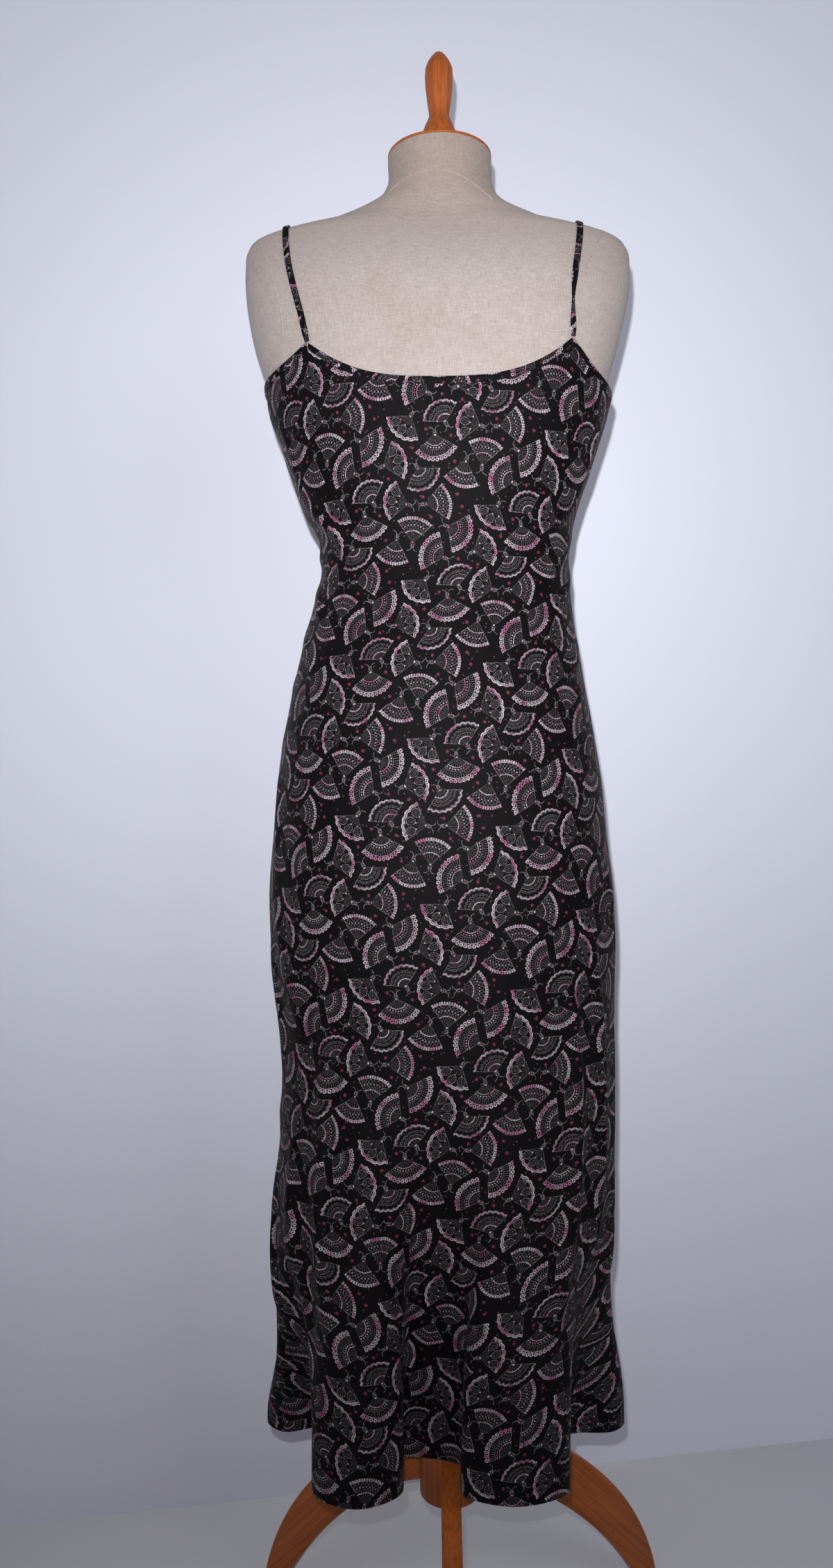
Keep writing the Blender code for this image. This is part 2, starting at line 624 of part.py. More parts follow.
def stand_on_origin():
    """Moves every piece alike, so that the part's box is centred over the origin."""
    corners = np.array([np.array(vertex.co) for piece in bpy.data.objects for vertex in piece.data.vertices])
    low, high = corners.min(axis=0), corners.max(axis=0)
    shift = Vector((-0.5 * (low[0] + high[0]), -0.5 * (low[1] + high[1]), -low[2]))
    for piece in bpy.data.objects:
        piece.location = shift


clear_scene()
build_dress(build_form())
stand_on_origin()
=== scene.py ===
"""The looks of a printed slip dress on a limbless dress form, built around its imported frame.

Metres, +Z up; the tables in millimetres say so.  Shapes are worked out in the stand's own frame,
whose Z axis is the form's pole, and STAND puts them in place.  The dress's back faces +Y, its front
-Y, and its left side seam, as seen from behind, lies at +X.
"""
import functools
import math
from collections import namedtuple

import bpy
import numpy as np
from mathutils import Matrix, Vector
from mathutils.bvhtree import BVHTree


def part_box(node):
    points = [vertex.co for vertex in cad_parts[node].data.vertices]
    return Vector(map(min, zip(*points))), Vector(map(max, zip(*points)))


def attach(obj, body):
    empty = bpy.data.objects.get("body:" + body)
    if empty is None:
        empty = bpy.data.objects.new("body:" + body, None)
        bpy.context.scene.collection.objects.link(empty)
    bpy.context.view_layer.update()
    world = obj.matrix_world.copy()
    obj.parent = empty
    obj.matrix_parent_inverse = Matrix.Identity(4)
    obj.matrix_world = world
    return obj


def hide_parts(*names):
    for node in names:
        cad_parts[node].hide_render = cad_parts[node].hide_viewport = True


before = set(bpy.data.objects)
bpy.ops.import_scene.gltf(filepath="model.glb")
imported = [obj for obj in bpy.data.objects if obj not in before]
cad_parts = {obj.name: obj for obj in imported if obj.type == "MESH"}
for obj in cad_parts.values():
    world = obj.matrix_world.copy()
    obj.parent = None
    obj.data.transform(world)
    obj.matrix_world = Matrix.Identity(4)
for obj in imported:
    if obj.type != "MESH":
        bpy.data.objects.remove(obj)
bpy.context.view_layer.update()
LOW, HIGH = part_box("pole")
STAND = Vector((0.5 * (LOW.x + HIGH.x), 0.5 * (LOW.y + HIGH.y), 0.0))  # the pole's foot
HANDS = ("left", "right")

# ---------------------------------------------------------------- camera and light
CAMERA_PLACE = (0.028, 1.16, 0.90)  # from the pole's foot
CAMERA_ROLL = math.radians(-0.45)
CAMERA_LENS = 26.45
CAMERA_SENSOR = 36.0
CAMERA_SHIFT = -0.0086
CAMERA_NEAREST = 0.01
FLOOR_REACH = 4.0
WALL_PLACE = (0.0, -0.302, 0.0)
WALL_TURN = math.radians(9.0)
WALL_REACH = 3.0
LIGHTS = {  # place, target, size, spread and power
    "key": ((0.048, 1.18, 0.972), (-0.13, 0.0, 1.20), 0.013, 108.0, 7.0),
    "soft_right": ((-1.3, 1.5, 2.1), (-0.3, -0.2, 1.4), 1.3, 150.0, 8.6),
    "soft_left": ((1.4, 1.3, 1.9), (0.2, -0.2, 1.4), 1.3, 150.0, 5.3),
    "behind": ((0.25, -2.4, 0.95), (0.0, 0.0, 1.08), 1.4, 80.0, 9.5),
}
SKY_COLOUR = (0.90, 0.93, 1.0)
SKY_STRENGTH = 0.12

# ---------------------------------------------------------------- sizes of the cloth
CLOTH = 0.0007  # what the shells are thick
LAYER_GAP = 0.0001  # between layers of cloth
SEAM_GAP = 0.0003
SOLID_WALL = 0.0012  # the solids' wall, whose outside the shells share
HEM_HEIGHT = 0.228
PEAK_MARGIN = 0.0010


def section_table(*rows):
    """Columns of a table of sections by name, in metres, from rows in millimetres.

    A row gives a height, how far the outline reaches to the left (+X), to the right, back and
    front, and how square it is: 2 is an ellipse.
    """
    table = dict(zip(("z", "left", "right", "back", "front", "square"), np.array(sorted(rows)).T))
    return {name: column if name == "square" else column / 1000 for name, column in table.items()}


DRESS_SECTIONS = section_table(
    (1345, 195.5, 186.5, 99.5, 103.5, 2.5), (1285, 176, 171.5, 103.5, 118, 2.5),
    (1256, 172.5, 166.5, 103.5, 127, 2.5), (1215, 157.5, 154, 101, 133, 2.5),
    (1173, 144.5, 139.5, 94, 126, 2.4), (1117, 121.5, 126, 86, 106, 2.3),
    (1090, 122.5, 126.5, 87, 101, 2.3), (1061, 130.5, 128.5, 92, 100, 2.3),
    (1005, 145, 136.5, 107, 104, 2.3), (949, 157, 146, 119, 108, 2.3), (893, 166, 155, 128, 111, 2.3),
    (837, 171, 160, 132, 113, 2.3), (781, 175.5, 166.5, 131, 114, 2.3), (725, 174, 168, 126, 114, 2.3),
    (641, 165, 166, 119, 114, 2.2), (558, 166, 163, 117, 116, 2.2), (446, 174, 161.5, 118, 119, 2.2),
    (334, 172, 163, 120, 122, 2.2), (228, 178, 172, 122, 125, 2.2))

# Flutes of the hem, anticlockwise from the left side seam: the crest's x and y, the way it faces
# (degrees, 0 is +X), its width and depth at the hem, and the height at which it begins.
HEM_LOBES = (
    (0.188, -0.033, 12.0, 0.048, 0.056, 0.315),  # left seam
    (0.088, 0.112, 90.0, 0.079, 0.076, 0.72),  # near left
    (-0.060, 0.110, 92.0, 0.094, 0.062, 0.66),  # near right
    (-0.181, -0.028, 185.0, 0.036, 0.060, 0.40),  # right seam
    (-0.108, -0.116, 246.0, 0.082, 0.056, 0.68),  # front right
    (-0.010, -0.130, 270.0, 0.070, 0.062, 0.56),  # front middle
    (0.100, -0.117, 291.0, 0.088, 0.056, 0.74),  # front left
)
RIGHT_SEAM_LOBE = 3
LOBE_POINTS = 6  # of the hem's outline for each lobe, with the valley after it
CREST_POINT = 2
VALLEY_PULL = 0.008  # towards the pole
SHOULDER_DROP = 0.30  # from the crest, as a share of the lobe's depth
SHOULDER_WIDTH = 1.04  # as a share of its width
FOLD_GROWTH = 1.35
HEM_STEPS = 12

# The upper edges: (left, right) heights at the side seams and at the peaks, (left, right) shares of
# the half at the peaks, the height at the middle, and how sharply each stretch climbs to its peak.
Edge = namedtuple("Edge", "seams peaks shares middle arm_bend neck_bend")
EDGES = {
    "back": Edge((1.281, 1.270), (1.302, 1.305), (0.225, 0.772), 1.262, 3.3, 2.9),
    "front": Edge((1.281, 1.270), (1.334, 1.336), (0.255, 0.745), 1.236, 2.2, 1.9),
}

# Soft creases, in millimetres: each runs from one place to another on its half of the
# dress (x along the cloth from the middle, + to the left seam, and z), so wide and so high at its
# middle, with a bow sideways.  Where the form fills the cloth they only stand out from it.
CREASES = {
    "back": (
        (150, 1160, 78, 1080, 7.5, 3.6, 4), (138, 1118, 70, 1052, 6, 2.5, -3),
        (152, 1080, 105, 1012, 7, 3.1, 4), (166, 1036, 128, 985, 6, 2.4, 2),
        (-148, 1128, -72, 1066, 7, 3.6, 4), (-150, 1092, -98, 1024, 6.5, 2.9, -3),
        (-162, 1010, -112, 985, 5, 3.4, 2), (-158, 978, -120, 930, 6, 2.2, -2),
        (40, 1128, -34, 1112, 8.5, 1.9, 3), (176, 1240, 150, 1150, 6.5, 2.2, 2),
        (-178, 1232, -150, 1160, 6.5, 2.2, -2), (196, 900, 182, 780, 10, 2.6, 3),
        (190, 790, 150, 640, 11, 3.8, 6), (204, 740, 190, 600, 9, 4.1, 2), (118, 700, 128, 330, 8, 5.4, 2),
        (158, 560, 176, 300, 9, 6, 3), (204, 520, 222, 300, 8, 5.4, 3), (54, 560, 50, 330, 6, -4.2, 2),
        (8, 500, 4, 260, 8, 4.5, 3), (-118, 720, -140, 330, 8, 6, 3), (-150, 740, -178, 420, 7, 5.1, 4),
        (-196, 660, -222, 330, 9, 5.1, 3), (-60, 560, -66, 300, 16, 3.9, 4),
        (-180, 830, -200, 700, 8, 2.4, 3), (142, 1146, 100, 1122, 5, 3, 2),
        (138, 1096, 94, 1072, 5, 2.8, -2), (146, 1062, 112, 1038, 5.5, 2.8, 2),
        (-138, 1150, -100, 1122, 5.5, 2.8, -2), (-140, 1060, -106, 1040, 5, 2.6, 2),
        (-20, 640, -34, 300, 7, 4, -2)),
    "front": (
        (150, 1150, 80, 1075, 7.5, 3.6, 4), (-148, 1140, -80, 1060, 7.5, 3.4, -4),
        (150, 1085, 100, 1010, 6.5, 2.9, 3), (-152, 1072, -104, 1004, 6.5, 2.9, -3),
        (120, 1310, 92, 1210, 7, 2.4, 4), (-120, 1310, -90, 1215, 7, 2.4, -4),
        (170, 1235, 110, 1200, 6, 2.4, 2), (-170, 1228, -112, 1196, 6, 2.4, -2),
        (50, 1120, -46, 1104, 8.5, 2.2, 3), (190, 800, 158, 650, 11, 3.8, 6),
        (-186, 810, -160, 640, 11, 3.6, -6), (60, 700, 66, 330, 9, 5.4, 3),
        (-54, 680, -62, 320, 9, 5.4, -3), (130, 640, 150, 300, 8, -4.5, 3),
        (-128, 600, -150, 300, 8, -4.5, 3), (196, 640, 220, 300, 9, 5.4, 3),
        (-196, 640, -224, 320, 9, 5.4, -3), (10, 520, 6, 270, 10, 4.5, 2), (136, 1118, 96, 1096, 5, 2.8, 2),
        (-136, 1104, -92, 1084, 5.5, 2.8, -2)),
}
CREASE_WIDENING = (0.75, 0.5)  # share of its width at the start, and what it gains by the end
CREASE_BLUNTNESS = 0.6
CREASE_ENDS = (0.02, 0.98)  # shares of its length beyond which it gets no lower
STEEP_SIDE = 0.7
EASY_SIDE = 1.25
SEAM_HOLD = 0.014  # from a side seam, where a crease fades out

# Small bulges of the two side seams, outward along X, in millimetres: height, how far out, how long.
SEAM_BULGES = {
    "left": ((1205, 1.2, 12), (1152, 1.6, 9), (1113, 2.6, 8), (1078, 2.2, 8), (1034, 1.8, 11),
             (985, 1.6, 9), (930, 1.2, 13), (700, 1.6, 20), (560, 2, 16), (455, -1.8, 18)),
    "right": ((1190, 1, 11), (1128, 1.8, 10), (1090, 1.4, 8), (1020, 1.4, 12), (955, 1, 12),
              (660, 1.6, 22), (520, -1.4, 18)),
}
BULGE_REACH = 0.024  # over the cloth to each side of the seam

LATTICE_STEP = 0.001  # of the heights at which the cloth is worked out
LATTICE_MARGINS = (0.004, 0.002)  # below the hem and above the highest section
LATTICE_SHARES = 600  # and of the places across each half
SWEEP_POINTS = 361
PANEL_COLUMNS = 164
PANEL_ROWS = 292
EDGE_EASE = 0.004  # the panels' last stretch, turned in along a side seam
EDGE_TURN = 0.0005
NORMAL_STEP = 0.001  # up and down from a line, for its normals

BINDING_HEIGHT = 0.0070
BINDING_THICKNESS = 0.0022
BINDING_PROFILE = (  # down from the top, and out as a share of half the thickness
    (0.0, 0.0), (0.00035, 0.62), (0.0010, 0.92), (0.0022, 1.0),
    (0.0046, 1.0), (0.0057, 0.84), (0.0063, 0.94), (BINDING_HEIGHT, 0.80))
NECK_STEPS = 150
ARMHOLE_STEPS = 70

HEM_TURN = 0.0052  # height of the turned hem
HEM_TURN_SHARES = (0.004, 0.996)
HEM_TURN_ROWS = 5
HEM_SOFTNESS = 0.0012
HEM_GROOVE = 0.0003  # what its stitching draws in
ALLOWANCE_SHARES = (0.0015, 0.018)
ALLOWANCE_COLUMNS = 6
ALLOWANCE_ROWS = 160
ALLOWANCE_TOP = 0.700
ALLOWANCE_END = 0.001  # above the turned hem

STRAP_WIDTH = 0.0066
STRAP_THICKNESS = 0.0016
STRAP_SEAT = 0.0007
STRAP_PIVOT_HEIGHT = 1.330
STRAP_SHOULDER = {"left": 0.1505, "right": -0.1345}
STRAP_BEND = {"left": 1.2, "right": 3.0}
STRAP_FEELERS = 160
STRAP_END_SHARE = 0.02
STRAP_PEAK_REACH = 0.003  # in shares of the half
STRAP_EASING = 6
STRAP_STEP = 0.0025  # along the finished strap
STRAP_PROFILE_POINTS = 12
STRAP_ROUNDNESS = (0.45, 0.75)  # of its profile across and out; 1 is an ellipse
STRAP_TAPER = (0.006, 0.30)  # over this reach a strap's ends lose this share of its width
# Where a strap is folded lengthwise on itself: how far along from the back, over what length, how narrow.
STRAP_PINCH = {"left": None, "right": (0.036, 0.016, 0.45)}
STRAP_PRINT_SHIFT = 0.3  # of its place on the shoulder, so that the straps' prints differ

# The print: fans of four drawings in a repeat that lies on the bias.
PRINT_CELL = (0.098, 0.112)
PRINT_BIAS = 45.0
PRINT_SWAY = 0.0009  # how far its lines wander, as drawn by hand
FRONT_PLACE = (0.463, 0.037)  # where the front was cut from the cloth, seen from the back's place
BINDING_PLACE = (0.031, 0.047)  # and the bindings, from their panel's place
FAN_TAIL = 0.0085
STARS = ((60.6, 14.2), (88.2, 28.7), (0.9, 96.2), (55.4, 24.5), (34.4, 85.2), (35.5, 46.0), (89.5, 79.6),
         (22.3, 65.0), (54.8, 82.9), (79.5, 45.4))
STAR_RADIUS = 0.00135
STAR_REACH = (0.00002, 0.003)  # the least and the most that a star is looked for
STAR_POINTS = (5.0, 0.00050)  # how many, and how long
DOT_SPACING = 0.0105
DOT_SIZE = 0.075  # share of the spacing

# ---------------------------------------------------------------- sizes of the form
TORSO_SECTIONS = section_table(
    (735, 129, 124, 86, 74, 2.2), (739, 147, 139, 100, 88, 2.2), (750, 160.5, 152, 113, 100, 2.3),
    (781, 170, 160.5, 125, 109, 2.3), (837, 167, 156, 127, 108.5, 2.3), (893, 162, 151, 123, 106.5, 2.3),
    (949, 153, 142, 114.5, 103.5, 2.3), (1005, 141, 132.5, 103, 99.8, 2.3),
    (1061, 126.5, 124.5, 88, 96, 2.3), (1090, 118.5, 122.5, 83, 97, 2.3), (1117, 117.5, 122, 82, 102, 2.3),
    (1173, 140.5, 135.5, 90, 122, 2.4), (1215, 153.5, 150, 97, 129, 2.5),
    (1256, 168.5, 162.5, 99.5, 123, 2.5), (1285, 173.5, 166, 99.5, 114, 2.5),
    (1310, 183, 173, 98, 106.5, 2.5), (1345, 191, 182, 95, 99, 2.5), (1373, 194.5, 187.5, 89, 89, 2.5),
    (1401, 195, 189, 78, 76, 2.4), (1417.5, 193, 186.5, 70, 68, 2.3), (1426.5, 186, 178, 66, 64, 2.2),
    (1433, 166, 156, 63, 61, 2.1), (1439, 135, 126, 61, 59, 2.0), (1447, 108, 102, 59, 57, 2.0),
    (1456.5, 83.5, 77.5, 57.5, 55.5, 2.0), (1467.5, 64, 62, 55.5, 54.5, 2.0),
    (1480, 55, 54.8, 53.5, 53, 2.0), (1514, 51.8, 51.8, 51.8, 51.8, 2.0))
TORSO_RINGS = 300
TORSO_SEGMENTS = 192

# Seams of the form's cover: which way they face (1 is the back), and x and z along each in millimetres.
FORM_SEAMS = {
    "arm_seam_back_right": (1, ((-160, 1428), (-152, 1412), (-133, 1370), (-121, 1325), (-118, 1270))),
    "arm_seam_back_left": (1, ((181, 1424), (175, 1408), (162, 1375), (153, 1335), (148, 1270))),
    "arm_seam_front_right": (-1, ((-160, 1426), (-150, 1408), (-132, 1366), (-124, 1320), (-126, 1270))),
    "arm_seam_front_left": (-1, ((181, 1422), (172, 1406), (156, 1370), (148, 1325), (146, 1270))),
    "collar_seam_back": (1, ((52.5, 1452), (50.5, 1467), (33, 1474.5), (10.6, 1477.6), (-14, 1474.5),
                             (-34.1, 1465.5), (-50, 1450))),
    "collar_seam_front": (-1, ((52.5, 1450), (40, 1454), (10, 1456), (-20, 1455), (-40, 1452), (-51, 1449))),
}
FORM_SEAM_RADIUS = 0.0005
FORM_SEAM_FLATNESS = 1.6
FORM_SEAM_SIDES = 8
FORM_SEAM_POINTS = 60
FORM_SEAM_EASING = 24
SIGHT = 0.5  # from outside the form, where a seam's line is cast onto it
STITCH_PITCH = 0.0030
STITCH_LENGTH = 0.0021
STITCH_RADIUS = 0.00018
STITCH_SIDES = 6
STITCH_PROFILE = ((0.0, 0.3), (0.2, 1.0), (0.8, 1.0), (1.0, 0.3))  # shares of the length and the radius

FINIAL_PROFILE = (  # radius and height in millimetres
    (0.5, 0), (22.2, 0), (22.5, 0.4), (22.5, 4), (21.9, 6.2), (21.2, 9), (18.5, 19), (16, 26.5), (14.4, 31),
    (12.6, 34.5), (11.2, 38), (10.2, 40.5), (10.5, 45), (11.8, 54), (13.6, 69), (14.2, 80), (13.6, 89),
    (11.4, 94.5), (8, 100), (4.5, 104), (2, 105.4), (0.4, 105.8))
TURNED_SEGMENTS = 72
DISC_CORE = 0.0006  # the radius at which a turned disc's faces end
DISC_STEPS = 5
CAP_RADIUS = 0.0520
CAP_THICKNESS = 0.0026
CAP_ROUNDING = 0.0007
FIT_GAP = 0.0003
HUB_RADIUS = 0.030
HUB_BOTTOM = 0.174
HUB_TOP = 0.236
HUB_ROUNDING = 0.0022

LEG_THICKNESS = 0.0185
LEG_ROUNDING = 0.0022
LEG_EDGE = ((0.0, 1.0), (0.35, 0.42), (1.0, 0.0))  # in from the face and from the outline, in roundings
LEGS = {"leg_back": (89.5, 1.0), "leg_left": (-30.5, 0.865), "leg_right": (210.0, 1.0)}  # facing, reach
LEG_UPPER_EDGE = ((0.0303, 0.222), (0.150, 0.200), (0.246, 0.100), (0.2640, 0.004))
LEG_UNDERSIDE = ((0.2400, 0.004), (0.205, 0.062), (0.120, 0.152), (0.0303, 0.181))
LEG_TOE = 0.002
LEG_STEPS = 40
GRAIN_SQUEEZE = (0.7, 0.7, 1.0)

# ---------------------------------------------------------------- colours (linear)
BLACK_CREPE = (0.0020, 0.0014, 0.0022)
PRINT_WHITE = (0.445, 0.375, 0.425)
PRINT_PINK = (0.340, 0.118, 0.212)
PRINT_GREY = (0.160, 0.138, 0.158)
STAR_PINK = (0.145, 0.026, 0.054)
DOT_GREY = (0.085, 0.040, 0.056)
LINEN_LIGHT = (0.430, 0.372, 0.360)
LINEN_DARK = (0.262, 0.221, 0.211)
LINEN_AGED = (0.93, 0.86, 0.79)
LINEN_FLECK = (0.21, 0.168, 0.148)
LINEN_THREAD = (0.53, 0.465, 0.415)
WOOD_LIGHT = (0.41, 0.107, 0.023)
WOOD_DARK = (0.225, 0.051, 0.010)
STEEL = (0.42, 0.42, 0.44)
WALL_COLOUR = (0.72, 0.735, 0.85)
FLOOR_COLOUR = (0.50, 0.51, 0.55)


# ---------------------------------------------------------------- curves and surfaces
def in_metres(rows):
    return np.array(rows) / 1000


def unit(vectors):
    """The vectors, each made one long."""
    return vectors / np.linalg.norm(vectors, axis=-1, keepdims=True)


def full_turn(count):
    """So many angles once round."""
    return np.linspace(0.0, 2 * math.pi, count, endpoint=False)


def facing_axes(degrees):
    """The way that faces so, seen from above, and the way square to it on its left."""
    angle = math.radians(degrees)
    return np.array([math.cos(angle), math.sin(angle)]), np.array([-math.sin(angle), math.cos(angle)])


def bezier(a, b, c, d, t):
    """Places at t on a cubic Bezier curve."""
    return a * (1 - t) ** 3 + 3 * b * t * (1 - t) ** 2 + 3 * c * t * t * (1 - t) + d * t ** 3


def smooth_between(table, name, heights):
    """A column of a table of sections, read at any heights along a smooth curve."""
    levels, values = table["z"], table[name]
    place = np.clip(np.searchsorted(levels, heights) - 1, 0, len(levels) - 2)
    span = levels[place + 1] - levels[place]
    low, high = values[place], values[place + 1]
    slopes = np.gradient(values, levels) / 3
    t = np.clip((heights - levels[place]) / span, 0.0, 1.0)
    return bezier(low, low + span * slopes[place], high - span * slopes[place + 1], high, t)


def sections(table, heights, angles):
    """Rounded sections, one line of points for each height; angle 0 is +X and 90 degrees is +Y."""
    size = {name: smooth_between(table, name, heights)[:, None] for name in table if name != "z"}
    power = 2.0 / size["square"]
    line = []
    for way, ahead, behind in ((np.cos(angles), "left", "right"), (np.sin(angles), "back", "front")):
        line.append(np.where(way > 0, size[ahead], size[behind]) * np.sign(way) * np.abs(way) ** power)
    return np.stack(line, axis=2)


def way_along(line):
    """Distance along a polyline at each of its points."""
    return np.concatenate([[0.0], np.cumsum(np.linalg.norm(np.diff(line, axis=0), axis=1))])


def read_line(values, way, places):
    """Columns of values kept along a line, read at places on the way along it."""
    return np.stack([np.interp(places, way, column) for column in values.T], axis=1)


def walk(line, shares):
    """Points at the given shares of a polyline's length."""
    way = way_along(line)
    return read_line(line, way / way[-1], shares)


def smoothed(line, rounds):
    """The line with each point but its ends drawn towards its neighbours, so many times."""
    for _ in range(rounds):
        line[1:-1] = 0.25 * line[:-2] + 0.5 * line[1:-1] + 0.25 * line[2:]
    return line


def closed_curve(points, steps):
    """A smooth closed curve through the points, with that many steps from each to the next."""
    before, here, after, second = (np.roll(points, shift, axis=0)[:, None] for shift in (1, 0, -1, -2))
    t = (np.arange(steps) / steps)[None, :, None]
    return bezier(here, here + (after - before) / 6, after - (second - here) / 6, after, t).reshape(-1, 2)


def surface_normals(grid):
    """Unit normals of a grid of points, along (down the rows) x (along the columns)."""
    return unit(np.cross(np.gradient(grid, axis=0), np.gradient(grid, axis=1)))


def rings_round(centres, sides, ups, across, out):
    """Rings of points round a line, from their places across it and out from it."""
    return centres[:, None] + across[..., None] * sides[:, None] + out[..., None] * ups[:, None]


# ---------------------------------------------------------------- meshes
def placed(name, data):
    """A new object in the scene."""
    made = bpy.data.objects.new(name, data)
    bpy.context.scene.collection.objects.link(made)
    return made


def add_piece(name, shape, coordinates, paint, node=None, sharp=40.0):
    """A named mesh of (points, faces) in the stand's frame, which stands for a node if it names one.

    It keeps coordinates along its cloth or grain at each point; a wall's two skins share them.
    """
    points, faces = shape
    mesh = bpy.data.meshes.new(name)
    mesh.from_pydata((points + np.array(STAND)).tolist(), [], faces)
    mesh.shade_smooth()
    mesh.set_sharp_from_angle(angle=math.radians(sharp))
    flat = coordinates.reshape(-1, coordinates.shape[-1])
    along = np.zeros((len(points), 3), dtype=np.float32)
    along[:, :flat.shape[1]] = np.tile(flat, (len(points) // len(flat), 1))
    mesh.attributes.new("along", "FLOAT_VECTOR", "POINT").data.foreach_set("vector", along.ravel())
    mesh.materials.append(MATERIALS[paint])
    piece = placed(name, mesh)
    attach(piece, "root")
    if node:
        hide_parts(node)
    return piece


def quads(rows, columns, first=0, backwards=False, closed=False):
    """Faces of a grid of points, row after row; a closed one joins its last column to its first."""
    here = first + np.arange(rows * columns).reshape(rows, columns)
    beside = np.roll(here, -1, axis=1)
    faces = np.stack([here[:-1], beside[:-1], beside[1:], here[1:]], axis=2)[:, :None if closed else -1]
    return faces[..., ::-1 if backwards else 1].reshape(-1, 4).tolist()


def shell(grid, normals, outward, inward, flip):
    """A closed thin wall round a grid of points: (points, faces)."""
    rows, columns = grid.shape[:2]
    points = np.vstack([(grid + outward * normals).reshape(-1, 3), (grid - inward * normals).reshape(-1, 3)])
    shift = rows * columns
    here = np.arange(shift).reshape(rows, columns)
    rim = np.concatenate([here[0, :-1], here[:-1, -1], here[-1, :0:-1], here[:0:-1, 0]])
    beside = np.roll(rim, -1)
    sides = np.column_stack([rim, shift + rim, shift + beside, beside])[:, ::-1 if flip else 1]
    return points, quads(rows, columns, 0, flip) + quads(rows, columns, shift, not flip) + sides.tolist()


def swept(rings):
    """A closed solid through rings of points, capped at both ends: (points, faces)."""
    count, places = rings.shape[:2]
    faces = quads(count, places, closed=True)
    faces.append(tuple(range(places))[::-1])
    faces.append(tuple((count - 1) * places + place for place in range(places)))
    return rings.reshape(-1, 3), faces


# ---------------------------------------------------------------- the dress's surface
def hem_halves():
    """The hem's line over the back and over the front, both from the left to the right seam."""
    lobes = []
    for x, y, facing, width, depth, _ in HEM_LOBES:
        out, round_way = facing_axes(facing)
        crest = np.array([x, y])
        foot = crest - depth * out
        shoulder = crest - SHOULDER_DROP * depth * out
        flank = 0.5 * width * round_way
        reach = SHOULDER_WIDTH * flank
        lobes.append([foot - flank, shoulder - reach, crest, shoulder + reach, foot + flank])
    outline = []
    for here, following in zip(lobes, lobes[1:] + lobes[:1]):
        middle = 0.5 * (here[-1] + following[0])
        outline += here + [middle * (1 - VALLEY_PULL / np.linalg.norm(middle))]
    curve = np.roll(closed_curve(outline, HEM_STEPS), -CREST_POINT * HEM_STEPS, axis=0)
    curve = np.vstack([curve, curve[:1]])
    split = RIGHT_SEAM_LOBE * LOBE_POINTS * HEM_STEPS
    return {"back": curve[:split + 1], "front": curve[split:][::-1]}


HEM = hem_halves()


def begin_heights(side, shares):
    """The height at which the cloth at each share of a half starts to turn into its flute."""
    if side == "back":
        lobes = HEM_LOBES[:RIGHT_SEAM_LOBE + 1]
    else:
        lobes = HEM_LOBES[:1] + HEM_LOBES[:RIGHT_SEAM_LOBE - 1:-1]
    way = way_along(HEM[side])
    places = [np.argmin(np.linalg.norm(HEM[side] - lobe[:2], axis=1)) for lobe in lobes]
    return np.interp(shares, way[places] / way[-1], [lobe[-1] for lobe in lobes])


def crease_relief(side, x, z):
    """How far the creases lift the cloth at places (x along it from the middle, height z)."""
    relief = np.zeros_like(x)
    for x1, z1, x2, z2, width, height, bow in in_metres(CREASES[side]):
        way = np.array([x2 - x1, z2 - z1])
        length = np.hypot(*way)
        way /= length
        along = (x - x1) * way[0] + (z - z1) * way[1]
        t = np.clip(along / length, 0.0, 1.0)
        across = (x - x1) * way[1] - (z - z1) * way[0] - bow * np.sin(math.pi * t)
        past = np.maximum(np.maximum(-along, along - length), 0.0)
        ends = np.sin(math.pi * np.clip(t, *CREASE_ENDS)) ** CREASE_BLUNTNESS
        spread = width * (CREASE_WIDENING[0] + CREASE_WIDENING[1] * t)
        spread *= np.where(across * bow > 0, STEEP_SIDE, EASY_SIDE)
        relief += height * ends * np.exp(-(across / spread) ** 2 - (past / width) ** 2)
    return relief


def seam_bulge(hand, heights):
    """How far a side seam stands out at each height."""
    return sum(size * np.exp(-((heights - height) / reach) ** 2)
               for height, size, reach in in_metres(SEAM_BULGES[hand]))


